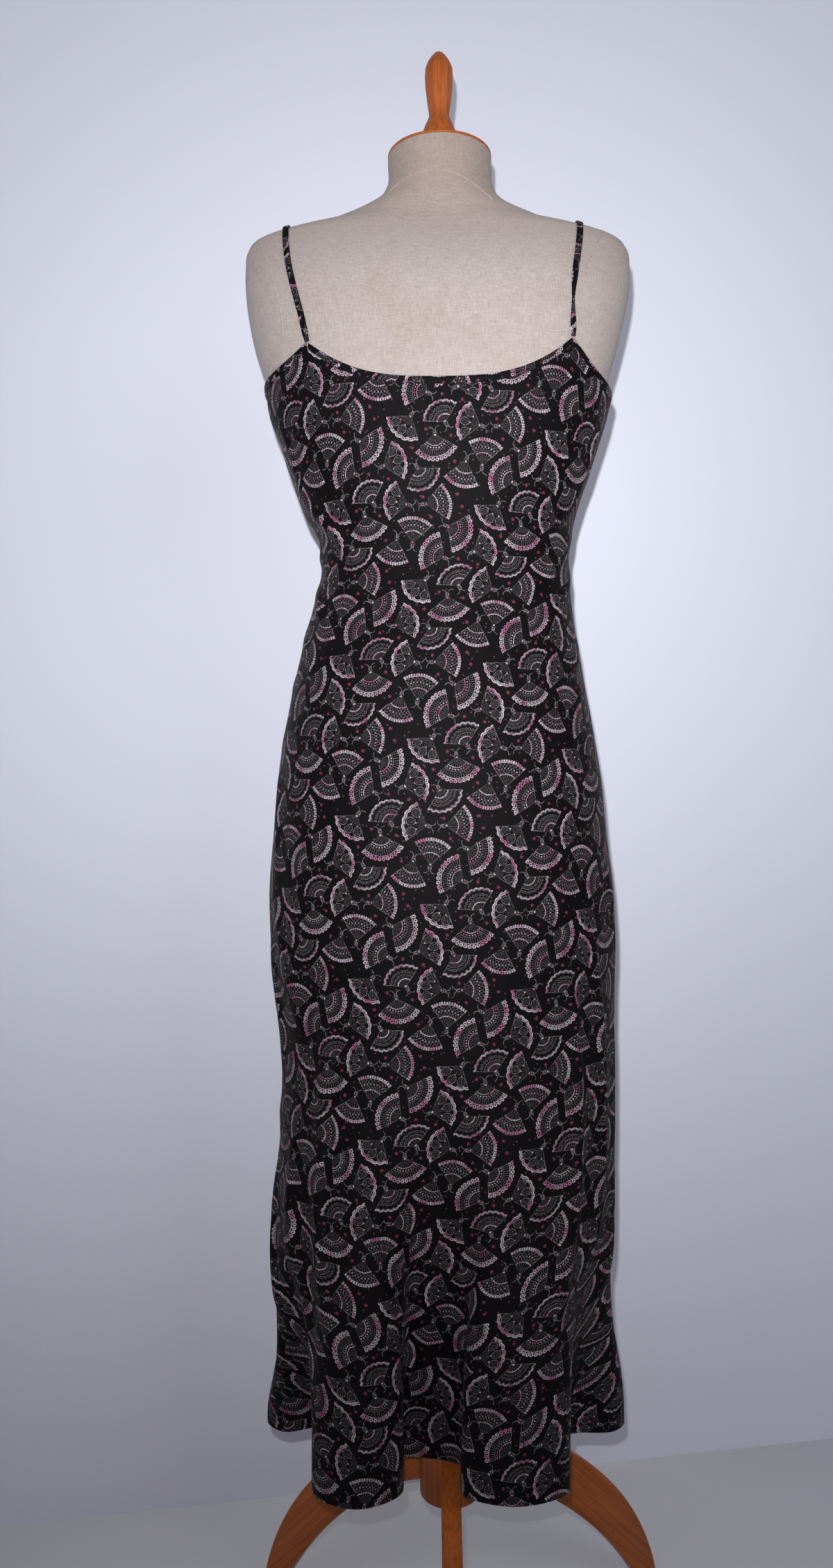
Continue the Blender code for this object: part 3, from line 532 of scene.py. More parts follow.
class Half:
    """The back or the front of the dress, worked out on a fine lattice of heights and shares."""

    def __init__(self, side):
        below, above = LATTICE_MARGINS
        facing = 1 if side == "back" else -1
        self.levels = np.arange(HEM_HEIGHT - below, DRESS_SECTIONS["z"][-1] + above, LATTICE_STEP)
        shares = np.linspace(0.0, 1.0, LATTICE_SHARES + 1)
        lines = sections(DRESS_SECTIONS, self.levels, facing * np.linspace(0.0, math.pi, SWEEP_POINTS))
        body = np.array([walk(line, shares) for line in lines])
        begins = begin_heights(side, shares)[None, :]
        fall = np.clip((begins - self.levels[:, None]) / (begins - HEM_HEIGHT), 0.0, 1.0)
        fold = ((fall * fall * (3 - 2 * fall)) ** FOLD_GROWTH)[..., None]
        flat = (1 - fold) * body + fold * walk(HEM[side], shares)[None]
        steps = np.linalg.norm(np.diff(flat, axis=1), axis=2)
        way = np.concatenate([np.zeros((len(flat), 1)), np.cumsum(steps, axis=1)], axis=1)
        along = way[:, LATTICE_SHARES // 2][:, None] - way      # the cloth, + towards the left seam
        tangent = unit(np.gradient(flat, axis=1))
        outward = facing * np.stack([tangent[..., 1], -tangent[..., 0]], axis=2)
        relief = crease_relief(side, along, self.levels[:, None] + 0 * along)
        relief *= np.clip(np.minimum(way, way[:, -1:] - way) / SEAM_HOLD, 0.0, 1.0)
        flat = flat + relief[..., None] * outward
        for hand, sign, from_seam in (("left", 1, way), ("right", -1, way - way[:, -1:])):
            bulge = seam_bulge(hand, self.levels)[:, None] * np.exp(-(from_seam / BULGE_REACH) ** 2)
            flat[..., 0] += sign * bulge
        self.lattice = np.concatenate([flat, along[..., None]], axis=2)

    def read(self, shares, heights):
        """Points of the cloth's outside, and how far along the cloth they lie, at (share, height)."""
        s = np.clip(shares, 0.0, 1.0) * LATTICE_SHARES
        z = np.clip((heights - self.levels[0]) / LATTICE_STEP, 0.0, len(self.levels) - 1.001)
        s0 = np.minimum(s.astype(int), LATTICE_SHARES - 1)
        z0 = z.astype(int)
        right, up = (s - s0)[..., None], (z - z0)[..., None]
        low, high = (self.lattice[row, s0] * (1 - right) + self.lattice[row, s0 + 1] * right
                     for row in (z0, z0 + 1))
        value = low * (1 - up) + high * up
        return np.concatenate([value[..., :2], heights[..., None]], axis=-1), value[..., 2]


HALVES = {side: Half(side) for side in EDGES}


def edge_heights(side, shares):
    """Height of the finished upper edge at each share of a half."""
    edge = EDGES[side]
    left, right = edge.shares
    centre = 0.5 * (left + right)
    heights = []
    for share in shares:
        hand = 0 if share < centre else 1
        peak = edge.shares[hand]
        if left < share < right:
            t = abs(share - centre) / abs(peak - centre)
            low, bend = edge.middle, edge.neck_bend
        else:
            t = min(share, 1 - share) / min(peak, 1 - peak)
            low, bend = edge.seams[hand], edge.arm_bend
        heights.append(low + (edge.peaks[hand] - low) * t ** bend)
    return np.array(heights)


def cloth_grid(side, shares, levels):
    """A grid of the cloth's outside with its outward normals and its place in the printed cloth."""
    places, heights = np.broadcast_arrays(shares, levels)
    points, x = HALVES[side].read(places, heights)
    normals = surface_normals(points) * (1 if side == "back" else -1)
    if side == "front":
        x = FRONT_PLACE[0] - x
        heights = heights + FRONT_PLACE[1]
    return points, normals, np.stack([x, heights], axis=2)


def cloth_line(side, shares, heights):
    """What cloth_grid gives, along one line."""
    rows = heights + NORMAL_STEP * np.array([[1.0], [0.0], [-1.0]])
    return [values[1] for values in cloth_grid(side, shares, rows)]


# ---------------------------------------------------------------- materials
def operation(name):
    """A method that runs an operation of the Math node on a signal and its arguments."""
    return lambda signal, *values: signal.graph.math(name, signal, *values)


class Signal:
    """A shader socket that arithmetic can be written with."""

    def __init__(self, graph, socket):
        self.graph = graph
        self.socket = socket

    __add__ = __radd__ = operation("ADD")
    __sub__ = operation("SUBTRACT")
    __mul__ = __rmul__ = operation("MULTIPLY")
    near = operation("COMPARE")          # 1 within (value, reach), and 0 elsewhere
    above = operation("GREATER_THAN")
    below = operation("LESS_THAN")
    size = operation("ABSOLUTE")
    cosine = operation("COSINE")

    def __rsub__(self, other):
        return self.graph.math("SUBTRACT", other, self)

    def squared(self):
        return self * self

    def either(self, *others):
        """The largest of this and the others."""
        return functools.reduce(functools.partial(self.graph.math, "MAXIMUM"), others, self)

    def cell(self, count):
        """Where this lies in its cell, from -0.5 to 0.5, with so many cells from 0 to 1."""
        return self.graph.math("WRAP", self * count, 0.5, -0.5)

    def lines(self, count, reach):
        """A line in the middle of each cell."""
        return self.cell(count).near(0.0, reach)

    def waves(self, count, height):
        """So many rounded waves from 0 to 1."""
        return (self * (count * math.pi)).cosine().size() * height


class Graph:
    """A material's node tree; its finish is what holds all over the surface."""

    def __init__(self, name, **finish):
        self.material = bpy.data.materials.new(name)
        self.material.use_nodes = True
        self.tree = self.material.node_tree
        self.shader = self.tree.nodes["Principled BSDF"]
        for socket, value in finish.items():
            self.shader.inputs[socket.replace("_", " ")].default_value = value

    def plug(self, value, socket):
        """Joins a signal to a node's input, or sets the input to a plain value."""
        if isinstance(value, Signal):
            self.tree.links.new(value.socket, socket)
        else:
            socket.default_value = value

    def node(self, kind, inputs, output=0, **settings):
        """One output of a new node, given its inputs by name or number."""
        made = self.tree.nodes.new("ShaderNode" + kind)
        for name, value in settings.items():
            setattr(made, name, value)
        for name, value in inputs.items():
            self.plug(value, made.inputs[name])
        return Signal(self, made.outputs[output])

    def math(self, operation, *values):
        return self.node("Math", dict(enumerate(values)), operation=operation)

    def vector(self, operation, *values, output="Vector", **more):
        return self.node("VectorMath", {**dict(enumerate(values)), **more}, output, operation=operation)

    def scaled(self, vector, scale):
        return self.vector("SCALE", vector, Scale=scale)

    def length(self, vector):
        return self.vector("LENGTH", vector, output="Value")

    def total(self, vectors):
        return functools.reduce(functools.partial(self.vector, "ADD"), vectors)

    def turned(self, vector, degrees):
        """A vector turned about Z."""
        inputs = {"Vector": vector, "Angle": math.radians(degrees)}
        return self.node("VectorRotate", inputs, rotation_type="Z_AXIS")

    def parts(self, vector):
        """The three parts of a vector."""
        made = self.node("SeparateXYZ", {0: vector}).socket.node
        return [Signal(self, output) for output in made.outputs]

    def joined(self, *values):
        """A vector of up to three parts."""
        return self.node("CombineXYZ", dict(enumerate(values)))

    def along(self):
        """Coordinates along the piece's cloth or grain, in metres."""
        return self.node("Attribute", {}, "Vector", attribute_name="along")

    def place(self):
        return self.node("TexCoord", {}, "Object")

    def noise(self, vector, scale, detail=2.0, roughness=0.5, output=0):
        """Noise at a scale, or at three that differ by the vector's parts."""
        if isinstance(scale, tuple):
            vector, scale = self.vector("MULTIPLY", vector, scale), 1.0
        inputs = {"Vector": vector, "Scale": scale, "Detail": detail, "Roughness": roughness}
        return self.node("TexNoise", inputs, output)

    def mix(self, share, first, second):
        """A colour between two, each a signal or a plain (r, g, b)."""
        first, second = (end if isinstance(end, Signal) else (*end, 1.0) for end in (first, second))
        return self.node("Mix", {0: share, 6: first, 7: second}, 2, data_type="RGBA")

    def ramp(self, value, low, high):
        """0 at low, 1 at high, and smooth between."""
        return self.node("MapRange", {"Value": value, "From Min": low, "From Max": high},
                         interpolation_type="SMOOTHSTEP")

    def finished(self, colour, height=None, distance=0.0):
        """The material, once it has its colour, and bumps if a height is given."""
        self.plug(colour, self.shader.inputs["Base Color"])
        if height is not None:
            bumps = self.node("Bump", {"Height": height, "Distance": distance, "Strength": 1.0})
            self.plug(bumps, self.shader.inputs["Normal"])
        return self.material


def spots(r, t, count, width, at, height):
    """Squared distance from a row of spots round a fan, in sizes of a spot."""
    return (t.cell(count) * width).squared() + ((r - at) * height).squared()


# Each fan's drawing gives its bright and its faint lines at r, from its foot to its rim, and t, from
# -1 to 1 across it.
def pearl_fan(r, t):
    """A rim of beads, long blades and a row of dots."""
    beads = spots(r, t, 5.5, 3.9, 0.915, 24.5).near(1.70, 1.14) * r.above(0.84)
    dots = spots(r, t, 4.5, 2.6, 0.50, 24.5).below(0.42)
    blades = t.lines(8.0, 0.075) * r.near(0.69, 0.10)
    sticks = t.lines(4.5, 0.07) * r.near(0.23, 0.18)
    return (beads.either(dots, r.near(0.815, 0.012), r.near(0.415, 0.012), r.below(0.07)),
            blades.either(sticks, r.near(0.575, 0.008), t.size().above(0.972)))


def scallop_fan(r, t):
    """A double scalloped rim over a row of rings."""
    rim = r - t.waves(4.0, 0.06)
    beads = t.lines(10.0, 0.28) * rim.near(0.918, 0.011)
    rings = spots(r, t, 5.0, 3.3, 0.68, 21.0).near(1.25, 0.42) * r.near(0.68, 0.1)
    ribs = t.lines(8.0, 0.085) * r.near(0.455, 0.085)
    sticks = t.lines(3.5, 0.07) * r.near(0.22, 0.13)
    return ((rim.near(0.915, 0.035) * (1.0 - beads)).either(r.near(0.36, 0.018), r.below(0.08)),
            rim.near(0.845, 0.010).either(rings, ribs, sticks, r.near(0.545, 0.009), t.size().above(0.970)))


def petal_fan(r, t):
    """A toothed wavy rim over three open petals."""
    rim = r - t.waves(3.0, 0.05)
    teeth = t.lines(11.0, 0.20) * rim.near(0.885, 0.03)
    petal = spots(r, t, 1.5, 2.3, 0.64, 5.0)
    hearts = spots(r, t, 1.5, 7.2732, 0.44, 20.0).below(0.5)
    veins = t.lines(9.0, 0.09) * petal.below(0.62)
    sticks = t.lines(4.5, 0.065) * r.below(0.40)
    return (rim.near(0.933, 0.022).either(rim.near(0.850, 0.012), teeth, hearts, r.below(0.08)),
            petal.near(0.86, 0.11).either(veins, sticks, t.size().above(0.970)))


def net_fan(r, t):
    """A dashed rim over a net of crossing lines."""
    rim = t.lines(7.5, 0.32) * r.near(0.942, 0.040)
    slant = r * 1.5
    net = (t + slant).lines(4.0, 0.055).either((t - slant).lines(4.0, 0.055))
    knots = spots(r, t, 4.0, 2.0, 0.67, 22.3607).below(0.16)
    sticks = t.lines(3.5, 0.07) * r.below(0.45)
    return (rim.either(knots, r.near(0.885, 0.010), r.near(0.46, 0.014), r.below(0.07)),
            (net * r.near(0.67, 0.20)).either(sticks, t.size().above(0.970)))


# Each drawing's radius and spread (degrees to a side), and where its fans lie: x and y in millimetres,
# and the way each opens in degrees.
FANS = (
    (pearl_fan, 0.0245, 55.0, ((9.3, 106.5, 71), (31.8, 76.3, 308), (84.4, 12.0, 252))),
    (scallop_fan, 0.0210, 60.0, ((17.5, 76.6, 108), (63.8, 66.4, 286))),
    (petal_fan, 0.0230, 52.0, ((35.1, 103.4, 351), (84.5, 90.9, 206), (94.8, 51.7, 61))),
    (net_fan, 0.0255, 41.0, ((20.4, 24.9, 144), (27.3, 39.0, 330), (83.1, 40.0, 219))),
)


def fan_tail(out, across):
    """A ring and two curls behind a fan's foot."""
    ring = ((out + 0.0024).squared() + across.squared()).near(2.0e-6, 1.0e-6)
    curls = [((out + 0.0030).squared() + (across - aside).squared()).near(1.52e-5, 2.1e-6)
             for aside in (0.0046, -0.0046)]
    return ring.either(*(curl * across.size().below(0.0052) for curl in curls))


def fan_print(graph, place):
    """Masks of the print at a place on the cloth: (bright lines, faint lines, stars, dots)."""
    wander = graph.vector("SUBTRACT", graph.noise(place, 320.0, 1.0, output="Color"), (0.5, 0.5, 0.5))
    tile = graph.turned(graph.vector("ADD", place, graph.scaled(wander, PRINT_SWAY)), PRINT_BIAS)
    half_cell = np.array([0.5 * PRINT_CELL[0], 0.5 * PRINT_CELL[1], 1.0])

    def seen_from(x, y):
        """The place in the repeat, seen from a spot of it in millimetres."""
        spot = graph.vector("SUBTRACT", tile, (0.001 * x, 0.001 * y, 0.0))
        return graph.vector("WRAP", spot, half_cell, -half_cell)

    drawn = []
    tails = []
    bare = 1.0
    for drawing, radius, spread, places in FANS:
        fans = []
        for x, y, facing in places:
            out, across, _ = graph.parts(graph.turned(seen_from(x, y), -facing))
            r = graph.length(graph.joined(out, across)) * (1.0 / radius)
            t = graph.math("ARCTAN2", across, out) * (1.0 / math.radians(spread))
            fans.append(graph.scaled(graph.joined(r, t, 1.0), r.below(1.0) * t.size().below(1.0)))
            behind = out.below(0.0) * r.below(FAN_TAIL / radius)
            tails.append(graph.scaled(graph.joined(out, across, 1.0), behind))
        r, t, inside = graph.parts(graph.total(fans))
        drawn.append([mask * inside for mask in drawing(r, t)])
        bare = bare - inside
    bright, faint = (masks[0].either(*masks[1:]) for masks in zip(*drawn))
    out, across, behind = graph.parts(graph.total(tails))
    faint = faint.either(fan_tail(out, across) * behind)

    nearest, farthest = STAR_REACH
    stars = [seen_from(x, y) for x, y in STARS]
    stars = graph.total(graph.scaled(spot, graph.length(spot).below(farthest)) for spot in stars)
    out, across, _ = graph.parts(stars)
    reach = graph.length(stars)
    count, length = STAR_POINTS
    outline = (graph.math("ARCTAN2", across, out) * count).cosine() * length + STAR_RADIUS
    star = (outline - reach).above(0.0) * reach.above(nearest)

    dots = graph.node("TexVoronoi", {"Vector": tile, "Scale": 1.0 / DOT_SPACING}, "Distance",
                      voronoi_dimensions="2D")
    return bright, faint, star, dots.below(DOT_SIZE) * bare


def shade(colour, share):
    return tuple(share * value for value in colour)


def crepe_material():
    """Black bias-cut crepe with its printed fans."""
    graph = Graph("crepe", Roughness=0.64, Sheen_Weight=0.012, Sheen_Roughness=0.45, Specular_IOR_Level=0.085)
    place = graph.along()
    bright, faint, star, dot = fan_print(graph, place)
    wash = graph.ramp(graph.noise(place, 75.0, 1.0), 0.42, 0.66)
    worn = graph.ramp(graph.noise(place, 420.0, 2.0), 0.36, 0.64)
    grain = graph.noise(place, 2600.0, 2.0, 0.6)
    seen = graph.mix(grain, shade(BLACK_CREPE, 0.6), shade(BLACK_CREPE, 1.5))
    seen = graph.mix(dot * 0.8, seen, DOT_GREY)
    seen = graph.mix(star * 0.9, seen, STAR_PINK)
    seen = graph.mix(faint * (worn * 0.75 + 0.35), seen, PRINT_GREY)
    seen = graph.mix(bright * (worn * 0.4 + 0.6), seen, graph.mix(wash, PRINT_WHITE, PRINT_PINK))
    slack = graph.noise(place, 60.0, 2.0)
    return graph.finished(seen, grain * 0.16 + slack, 0.0008)


def linen_material():
    """Natural linen with slubs and darker flecks."""
    graph = Graph("linen", Roughness=0.88, Sheen_Weight=0.08)
    place = graph.along()
    weft = graph.noise(place, (1500.0, 110.0, 110.0), 3.0, 0.7)
    warp = graph.noise(place, (110.0, 1500.0, 1500.0), 3.0, 0.7)
    thick = graph.noise(place, (800.0, 90.0, 90.0), 2.0, 0.6) * 0.35
    tall = graph.noise(place, (90.0, 800.0, 800.0), 2.0, 0.6) * 0.45
    weave = (warp + weft + thick + tall) * 0.357
    fleck = graph.ramp(graph.noise(place, (420.0, 1300.0, 1300.0), 2.0, 0.7), 0.60, 0.72)
    seen = graph.mix(graph.ramp(weave, 0.33, 0.67), LINEN_DARK, LINEN_LIGHT)
    seen = graph.mix(fleck * 0.5, seen, LINEN_FLECK)
    height, _, _ = graph.parts(place)
    aged = graph.ramp(height, 1.36, 1.49).either(graph.ramp(graph.noise(place, 14.0, 2.0), 0.5, 0.72) * 0.55)
    return graph.finished(graph.vector("MULTIPLY", seen, graph.mix(aged, (1.0, 1.0, 1.0), LINEN_AGED)),
                          weave, 0.0006)


def wood_material():
    """Oiled reddish beech, its grain along the first coordinate."""
    graph = Graph("beech", Roughness=0.40, Specular_IOR_Level=0.2, Coat_Weight=0.05, Coat_Roughness=0.25)
    place = graph.along()
    bend = graph.noise(place, 9.0, 2.0)
    rings = graph.noise(place, (9.0, 380.0, 380.0), 3.0, 0.6)
    pores = graph.noise(place, (120.0, 2400.0, 2400.0), 2.0, 0.6)
    seen = graph.mix(graph.ramp(rings * 0.8 + bend * 0.4, 0.40, 0.86), WOOD_LIGHT, WOOD_DARK)
    seen = graph.mix(graph.ramp(pores, 0.58, 0.75) * 0.4, seen, shade(WOOD_DARK, 0.5))
    return graph.finished(seen, pores, 0.0003)


def mottled_material(name, colour, darkest, scale, roughness=0.5, depth=0.0, one_sided=False, **finish):
    """Two shades of a colour mixed by noise: thread, brushed metal and paint.

    A one-sided one lets sight and light through from behind.
    """
    graph = Graph(name, **finish)
    if one_sided:
        sides = {0: graph.node("NewGeometry", {}, "Backfacing"), 1: Signal(graph, graph.shader.outputs[0]),
                 2: graph.node("BsdfTransparent", {})}
        graph.plug(graph.node("MixShader", sides), graph.tree.nodes["Material Output"].inputs["Surface"])
    mottle = graph.noise(graph.place(), scale, 2.0, roughness)
    return graph.finished(graph.mix(mottle, shade(colour, darkest), colour), mottle if depth else None, depth)


MATERIALS = {"crepe": crepe_material(), "linen": linen_material(), "beech": wood_material(),
             "thread": mottled_material("thread", LINEN_THREAD, 0.8, 3000.0, Roughness=0.7)}


# ---------------------------------------------------------------- the dress's pieces
def panel_shares(side):
    """Shares of the panel's columns, with one at each peak."""
    stops = (0.0, *EDGES[side].shares, 1.0)
    pieces = [np.linspace(low, high, round(PANEL_COLUMNS * (high - low)) + 1)[1:]
              for low, high in zip(stops, stops[1:])]
    return np.concatenate([[0.0]] + pieces)


def eased(grid, normals, coordinates):
    """The grid with its two side edges turned in a little, as a seam draws them."""
    for edge in (coordinates[:, :1, 0], coordinates[:, -1:, 0]):
        far = np.clip(np.abs(coordinates[..., 0] - edge) / EDGE_EASE, 0.0, 1.0)
        grid = grid - (EDGE_TURN * (1 - far) ** 2)[..., None] * normals
    for edge, neighbour in ((0, 1), (-1, -2)):
        grid[:, edge] += 0.5 * SEAM_GAP * unit(grid[:, neighbour] - grid[:, edge])
    return grid


def panel(side):
    """The back or the front as a thin closed shell from its bindings to the hem; (piece, width, area)."""
    shares = panel_shares(side)
    tops = edge_heights(side, shares) - BINDING_HEIGHT - SEAM_GAP
    levels = tops + (HEM_HEIGHT - tops) * np.linspace(0.0, 1.0, PANEL_ROWS)[:, None]
    grid, normals, coordinates = cloth_grid(side, shares, levels)
    above_hem = (levels - HEM_HEIGHT - HEM_TURN) / HEM_SOFTNESS
    grid = grid - (HEM_GROOVE * np.exp(-above_hem ** 2))[..., None] * normals
    grid = eased(grid, normals, coordinates)
    shape = shell(grid, normals, 0.0, CLOTH, side == "front")
    piece = add_piece(side + "_panel_cloth", shape, coordinates, "crepe", side + "_panel")
    diagonals = np.cross(grid[1:, 1:] - grid[:-1, :-1], grid[1:, :-1] - grid[:-1, 1:])
    width = np.ptp(coordinates[..., 0], axis=1).max()
    return piece, float(width), 0.5 * float(np.linalg.norm(diagonals, axis=2).sum())


def inner_strips(side):
    """The hem's turned edge, and the side seams' allowances, pressed open from the hips down."""
    allowance = np.linspace(*ALLOWANCE_SHARES, ALLOWANCE_COLUMNS)
    below = np.linspace(ALLOWANCE_TOP, HEM_HEIGHT + HEM_TURN + ALLOWANCE_END, ALLOWANCE_ROWS)
    pieces = []
    for name, shares, levels, gaps in (
            ("hem_turn_" + side, np.linspace(*HEM_TURN_SHARES, 2 * PANEL_COLUMNS),
             HEM_HEIGHT + np.linspace(HEM_TURN, SEAM_GAP, HEM_TURN_ROWS), (1, 2)),
            ("seam_allowance_" + side + "_left", allowance, below, (2, 1)),
            ("seam_allowance_" + side + "_right", 1.0 - allowance[::-1], below, (2, 1))):
        grid, normals, coordinates = cloth_grid(side, shares, levels[:, None])
        near, far = CLOTH + gaps[0] * LAYER_GAP, 2 * CLOTH + gaps[1] * LAYER_GAP
        shape = shell(grid, normals, -near, far, side == "front")
        pieces.append(add_piece(name, shape, coordinates, "crepe"))
    return pieces


def binding(node, stretches):
    """A folded binding along an upper edge, rounded over its top, in stretches of (side, shares)."""
    profile = BINDING_PROFILE + tuple((down, -out) for down, out in reversed(BINDING_PROFILE[1:]))
    rings = []
    coordinates = []
    for number, (side, shares) in enumerate(stretches):
        tops = edge_heights(side, shares)
        lines = []
        for down, out in profile:
            points, normals, place = cloth_line(side, shares, tops - down)
            lines.append((points + 0.5 * (BINDING_THICKNESS * out - SOLID_WALL) * normals, place))
        shared = min(number, 1)      # a stretch begins where the one before it ends
        for found, values in zip((rings, coordinates), zip(*lines)):
            found.append(np.stack(values, axis=1)[shared:])
    coordinates = np.concatenate(coordinates) + BINDING_PLACE
    return add_piece(node + "_cloth", swept(np.concatenate(rings)), coordinates, "crepe", node)


def neck_binding(side):
    left, right = EDGES[side].shares
    shares = np.linspace(left + PEAK_MARGIN, right - PEAK_MARGIN, NECK_STEPS)
    return binding("neck_binding_" + side, [(side, shares)])


def armhole_binding(hand):
    """From the back's peak down to the side seam, and up to the front's peak."""
    aside, seam = {"left": (-PEAK_MARGIN, 0.0), "right": (PEAK_MARGIN, 1.0)}[hand]
    back, front = (np.linspace(edge.shares[HANDS.index(hand)] + aside, seam, ARMHOLE_STEPS)
                   for edge in EDGES.values())
    return binding("armhole_binding_" + hand, [("back", back), ("front", front[::-1])])


# ---------------------------------------------------------------- straps
def strap_ends(hand):
    """Where the strap starts and stops: the middle of the bindings' tops at the two peaks."""
    ends = []
    for side, edge in EDGES.items():
        shares = edge.shares[HANDS.index(hand)] + STRAP_PEAK_REACH * np.array([-1.0, 0.0, 1.0])
        height = edge_heights(side, shares[1:2])
        points, normals, _ = cloth_line(side, shares, np.repeat(height, 3))
        ends.append(points[1] - 0.5 * SOLID_WALL * normals[1] + np.array([0.0, 0.0, SEAM_GAP]))
    return ends


def taut(points):
    """The points that a line pulled tight over them would touch, seen along X."""
    kept = [0]
    for place in range(1, len(points)):
        while len(kept) > 1:
            last = points[kept[-1], 1:]
            before, after = last - points[kept[-2], 1:], points[place, 1:] - last
            if before[0] * after[1] - before[1] * after[0] > 0.0:
                break
            kept.pop()
        kept.append(place)
    return kept


def strap_path(hand, skin):
    """Centre points and outward directions from the back's peak over the shoulder to the front's."""
    ends = strap_ends(hand)
    begin, finish = (math.atan2(end[2] - STRAP_PIVOT_HEIGHT, end[1]) for end in ends)
    rise = STRAP_SHOULDER[hand] - 0.5 * (ends[0][0] + ends[1][0])
    points = [ends[0]]
    normals = []
    for t in np.linspace(STRAP_END_SHARE, 1.0 - STRAP_END_SHARE, STRAP_FEELERS):
        angle = begin + (finish % (2 * math.pi) - begin) * t
        across = (1 - t) * ends[0][0] + t * ends[1][0] + rise * math.sin(math.pi * t) ** STRAP_BEND[hand]
        ray = Vector((0.0, math.cos(angle), math.sin(angle)))
        hit, normal, _, _ = skin.ray_cast(Vector((across, 0.0, STRAP_PIVOT_HEIGHT)), ray)
        points.append(np.array(hit + normal * (STRAP_SEAT + 0.5 * STRAP_THICKNESS)))
        normals.append(np.array(normal))
    points = np.array(points + [ends[1]])
    normals = smoothed(np.array([normals[0]] + normals + [normals[-1]]), STRAP_EASING)
    kept = taut(points)
    return points[kept], normals[kept]


def strap(hand, skin):
    """A flat tube strap pulled tight over the shoulder, with softly rounded edges."""
    points, normals = strap_path(hand, skin)
    way = way_along(points)
    where = np.linspace(0.0, way[-1], int(way[-1] / STRAP_STEP) + 1)
    centres = read_line(points, way, where)
    ahead = unit(np.gradient(centres, axis=0))
    sides = unit(np.cross(ahead, read_line(normals, way, where)))
    reach, lost = STRAP_TAPER
    narrow = 1.0 - lost * np.exp(-(np.minimum(where, way[-1] - where) / reach) ** 2)
    if STRAP_PINCH[hand]:
        middle, reach, share = STRAP_PINCH[hand]
        narrow *= 1.0 - (1.0 - share) * np.exp(-((where - middle) / reach) ** 2)
    turn = full_turn(STRAP_PROFILE_POINTS)
    across, out = (0.5 * size * np.sign(way_out) * np.abs(way_out) ** roundness for size, way_out, roundness
                   in zip((STRAP_WIDTH, STRAP_THICKNESS), (np.cos(turn), np.sin(turn)), STRAP_ROUNDNESS))
    rings = rings_round(centres, sides, np.cross(sides, ahead), narrow[:, None] * across, out[None])
    printed = across + STRAP_PRINT_SHIFT * STRAP_SHOULDER[hand]
    flat = np.stack(np.broadcast_arrays(printed, where[:, None]), axis=2)
    return add_piece("strap_" + hand + "_cloth", swept(rings), flat, "crepe", "strap_" + hand, 60.0)


# ---------------------------------------------------------------- the form's pieces
def torso():
    """The linen-covered body and neck; returns its skin for the straps and seams to lie on."""
    levels = TORSO_SECTIONS["z"]
    heights = np.unique(np.concatenate([np.linspace(levels[0], levels[-1], TORSO_RINGS), levels]))
    flat = sections(TORSO_SECTIONS, heights, full_turn(TORSO_SEGMENTS))
    upright = np.broadcast_to(heights[:, None, None], flat.shape[:2] + (1,))
    points, faces = swept(np.concatenate([flat, upright], axis=2))
    add_piece("form_torso_cover", (points, faces), points[:, [2, 0, 1]], "linen", "form_torso", 50.0)
    return BVHTree.FromPolygons([Vector(point) for point in points], faces)


def form_seam(name, facing, line, skin):
    """A stitched seam of the form's cover: a fine cord laid on its skin; returns its line and normals."""
    laid = []
    line = walk(in_metres(line), np.linspace(0.0, 1.0, FORM_SEAM_POINTS))
    for x, z in smoothed(line, FORM_SEAM_EASING):
        place, normal, _, _ = skin.ray_cast(Vector((x, SIGHT * facing, z)), Vector((0.0, -facing, 0.0)))
        if place is None:
            place, normal, _, _ = skin.find_nearest(Vector((x, 0.0, z)))
        laid.append((place, normal))
    centres, normals = np.array(laid).transpose(1, 0, 2)
    sides = np.cross(unit(np.gradient(centres, axis=0)), normals)
    turn = full_turn(FORM_SEAM_SIDES)
    points, faces = swept(rings_round(centres, sides, normals, FORM_SEAM_RADIUS * FORM_SEAM_FLATNESS
                                      * np.cos(turn)[None], FORM_SEAM_RADIUS * np.sin(turn)[None]))
    add_piece(name, (points, faces), points[:, [2, 0, 1]], "linen")
    return centres, normals


def stitches(name, centres, normals):
    """Thread along a seam: a short raised bead for every stitch."""
    way = way_along(centres)
    ahead = np.gradient(centres, axis=0)
    turn = full_turn(STITCH_SIDES)
    shares, sizes = np.array(STITCH_PROFILE).T
    across, out = (STITCH_RADIUS * np.outer(sizes, way_out) for way_out in (np.cos(turn), np.sin(turn)))
    points = []
    faces = []
    for start in np.arange(STITCH_PITCH, way[-1] - STITCH_PITCH, STITCH_PITCH):
        centre, up, along = (read_line(values, way, start + STITCH_LENGTH * shares)
                             for values in (centres, normals, ahead))
        centre += FORM_SEAM_RADIUS * up
        bead, sides = swept(rings_round(centre, unit(np.cross(along, up)), up, across, out))
        faces += [tuple(len(points) * len(bead) + corner for corner in side) for side in sides]
        points.append(bead)
    points = np.vstack(points)
    add_piece(name, (points, faces), points, "thread")


def turned_piece(node, profile, bottom):
    """A wooden part turned round the stand's axis from (radius, height) rows, its grain upright."""
    turn = full_turn(TURNED_SEGMENTS)
    points, faces = swept(np.array([[(radius * math.cos(angle), radius * math.sin(angle), bottom + height)
                                     for angle in turn] for radius, height in profile]))
    add_piece(node + "_wood", (points, faces), points[:, [2, 0, 1]], "beech", node, 35.0)


def rounded_disc(radius, height, rounding):
    """The profile of a disc with rounded rims."""
    rims = [(radius - rounding + rounding * math.cos(angle), middle + rounding * math.sin(angle))
            for lowest, middle in ((-90.0, rounding), (0.0, height - rounding))
            for angle in np.radians(np.linspace(lowest, lowest + 90.0, DISC_STEPS))]
    return [(DISC_CORE, 0.0)] + rims + [(DISC_CORE, height)]


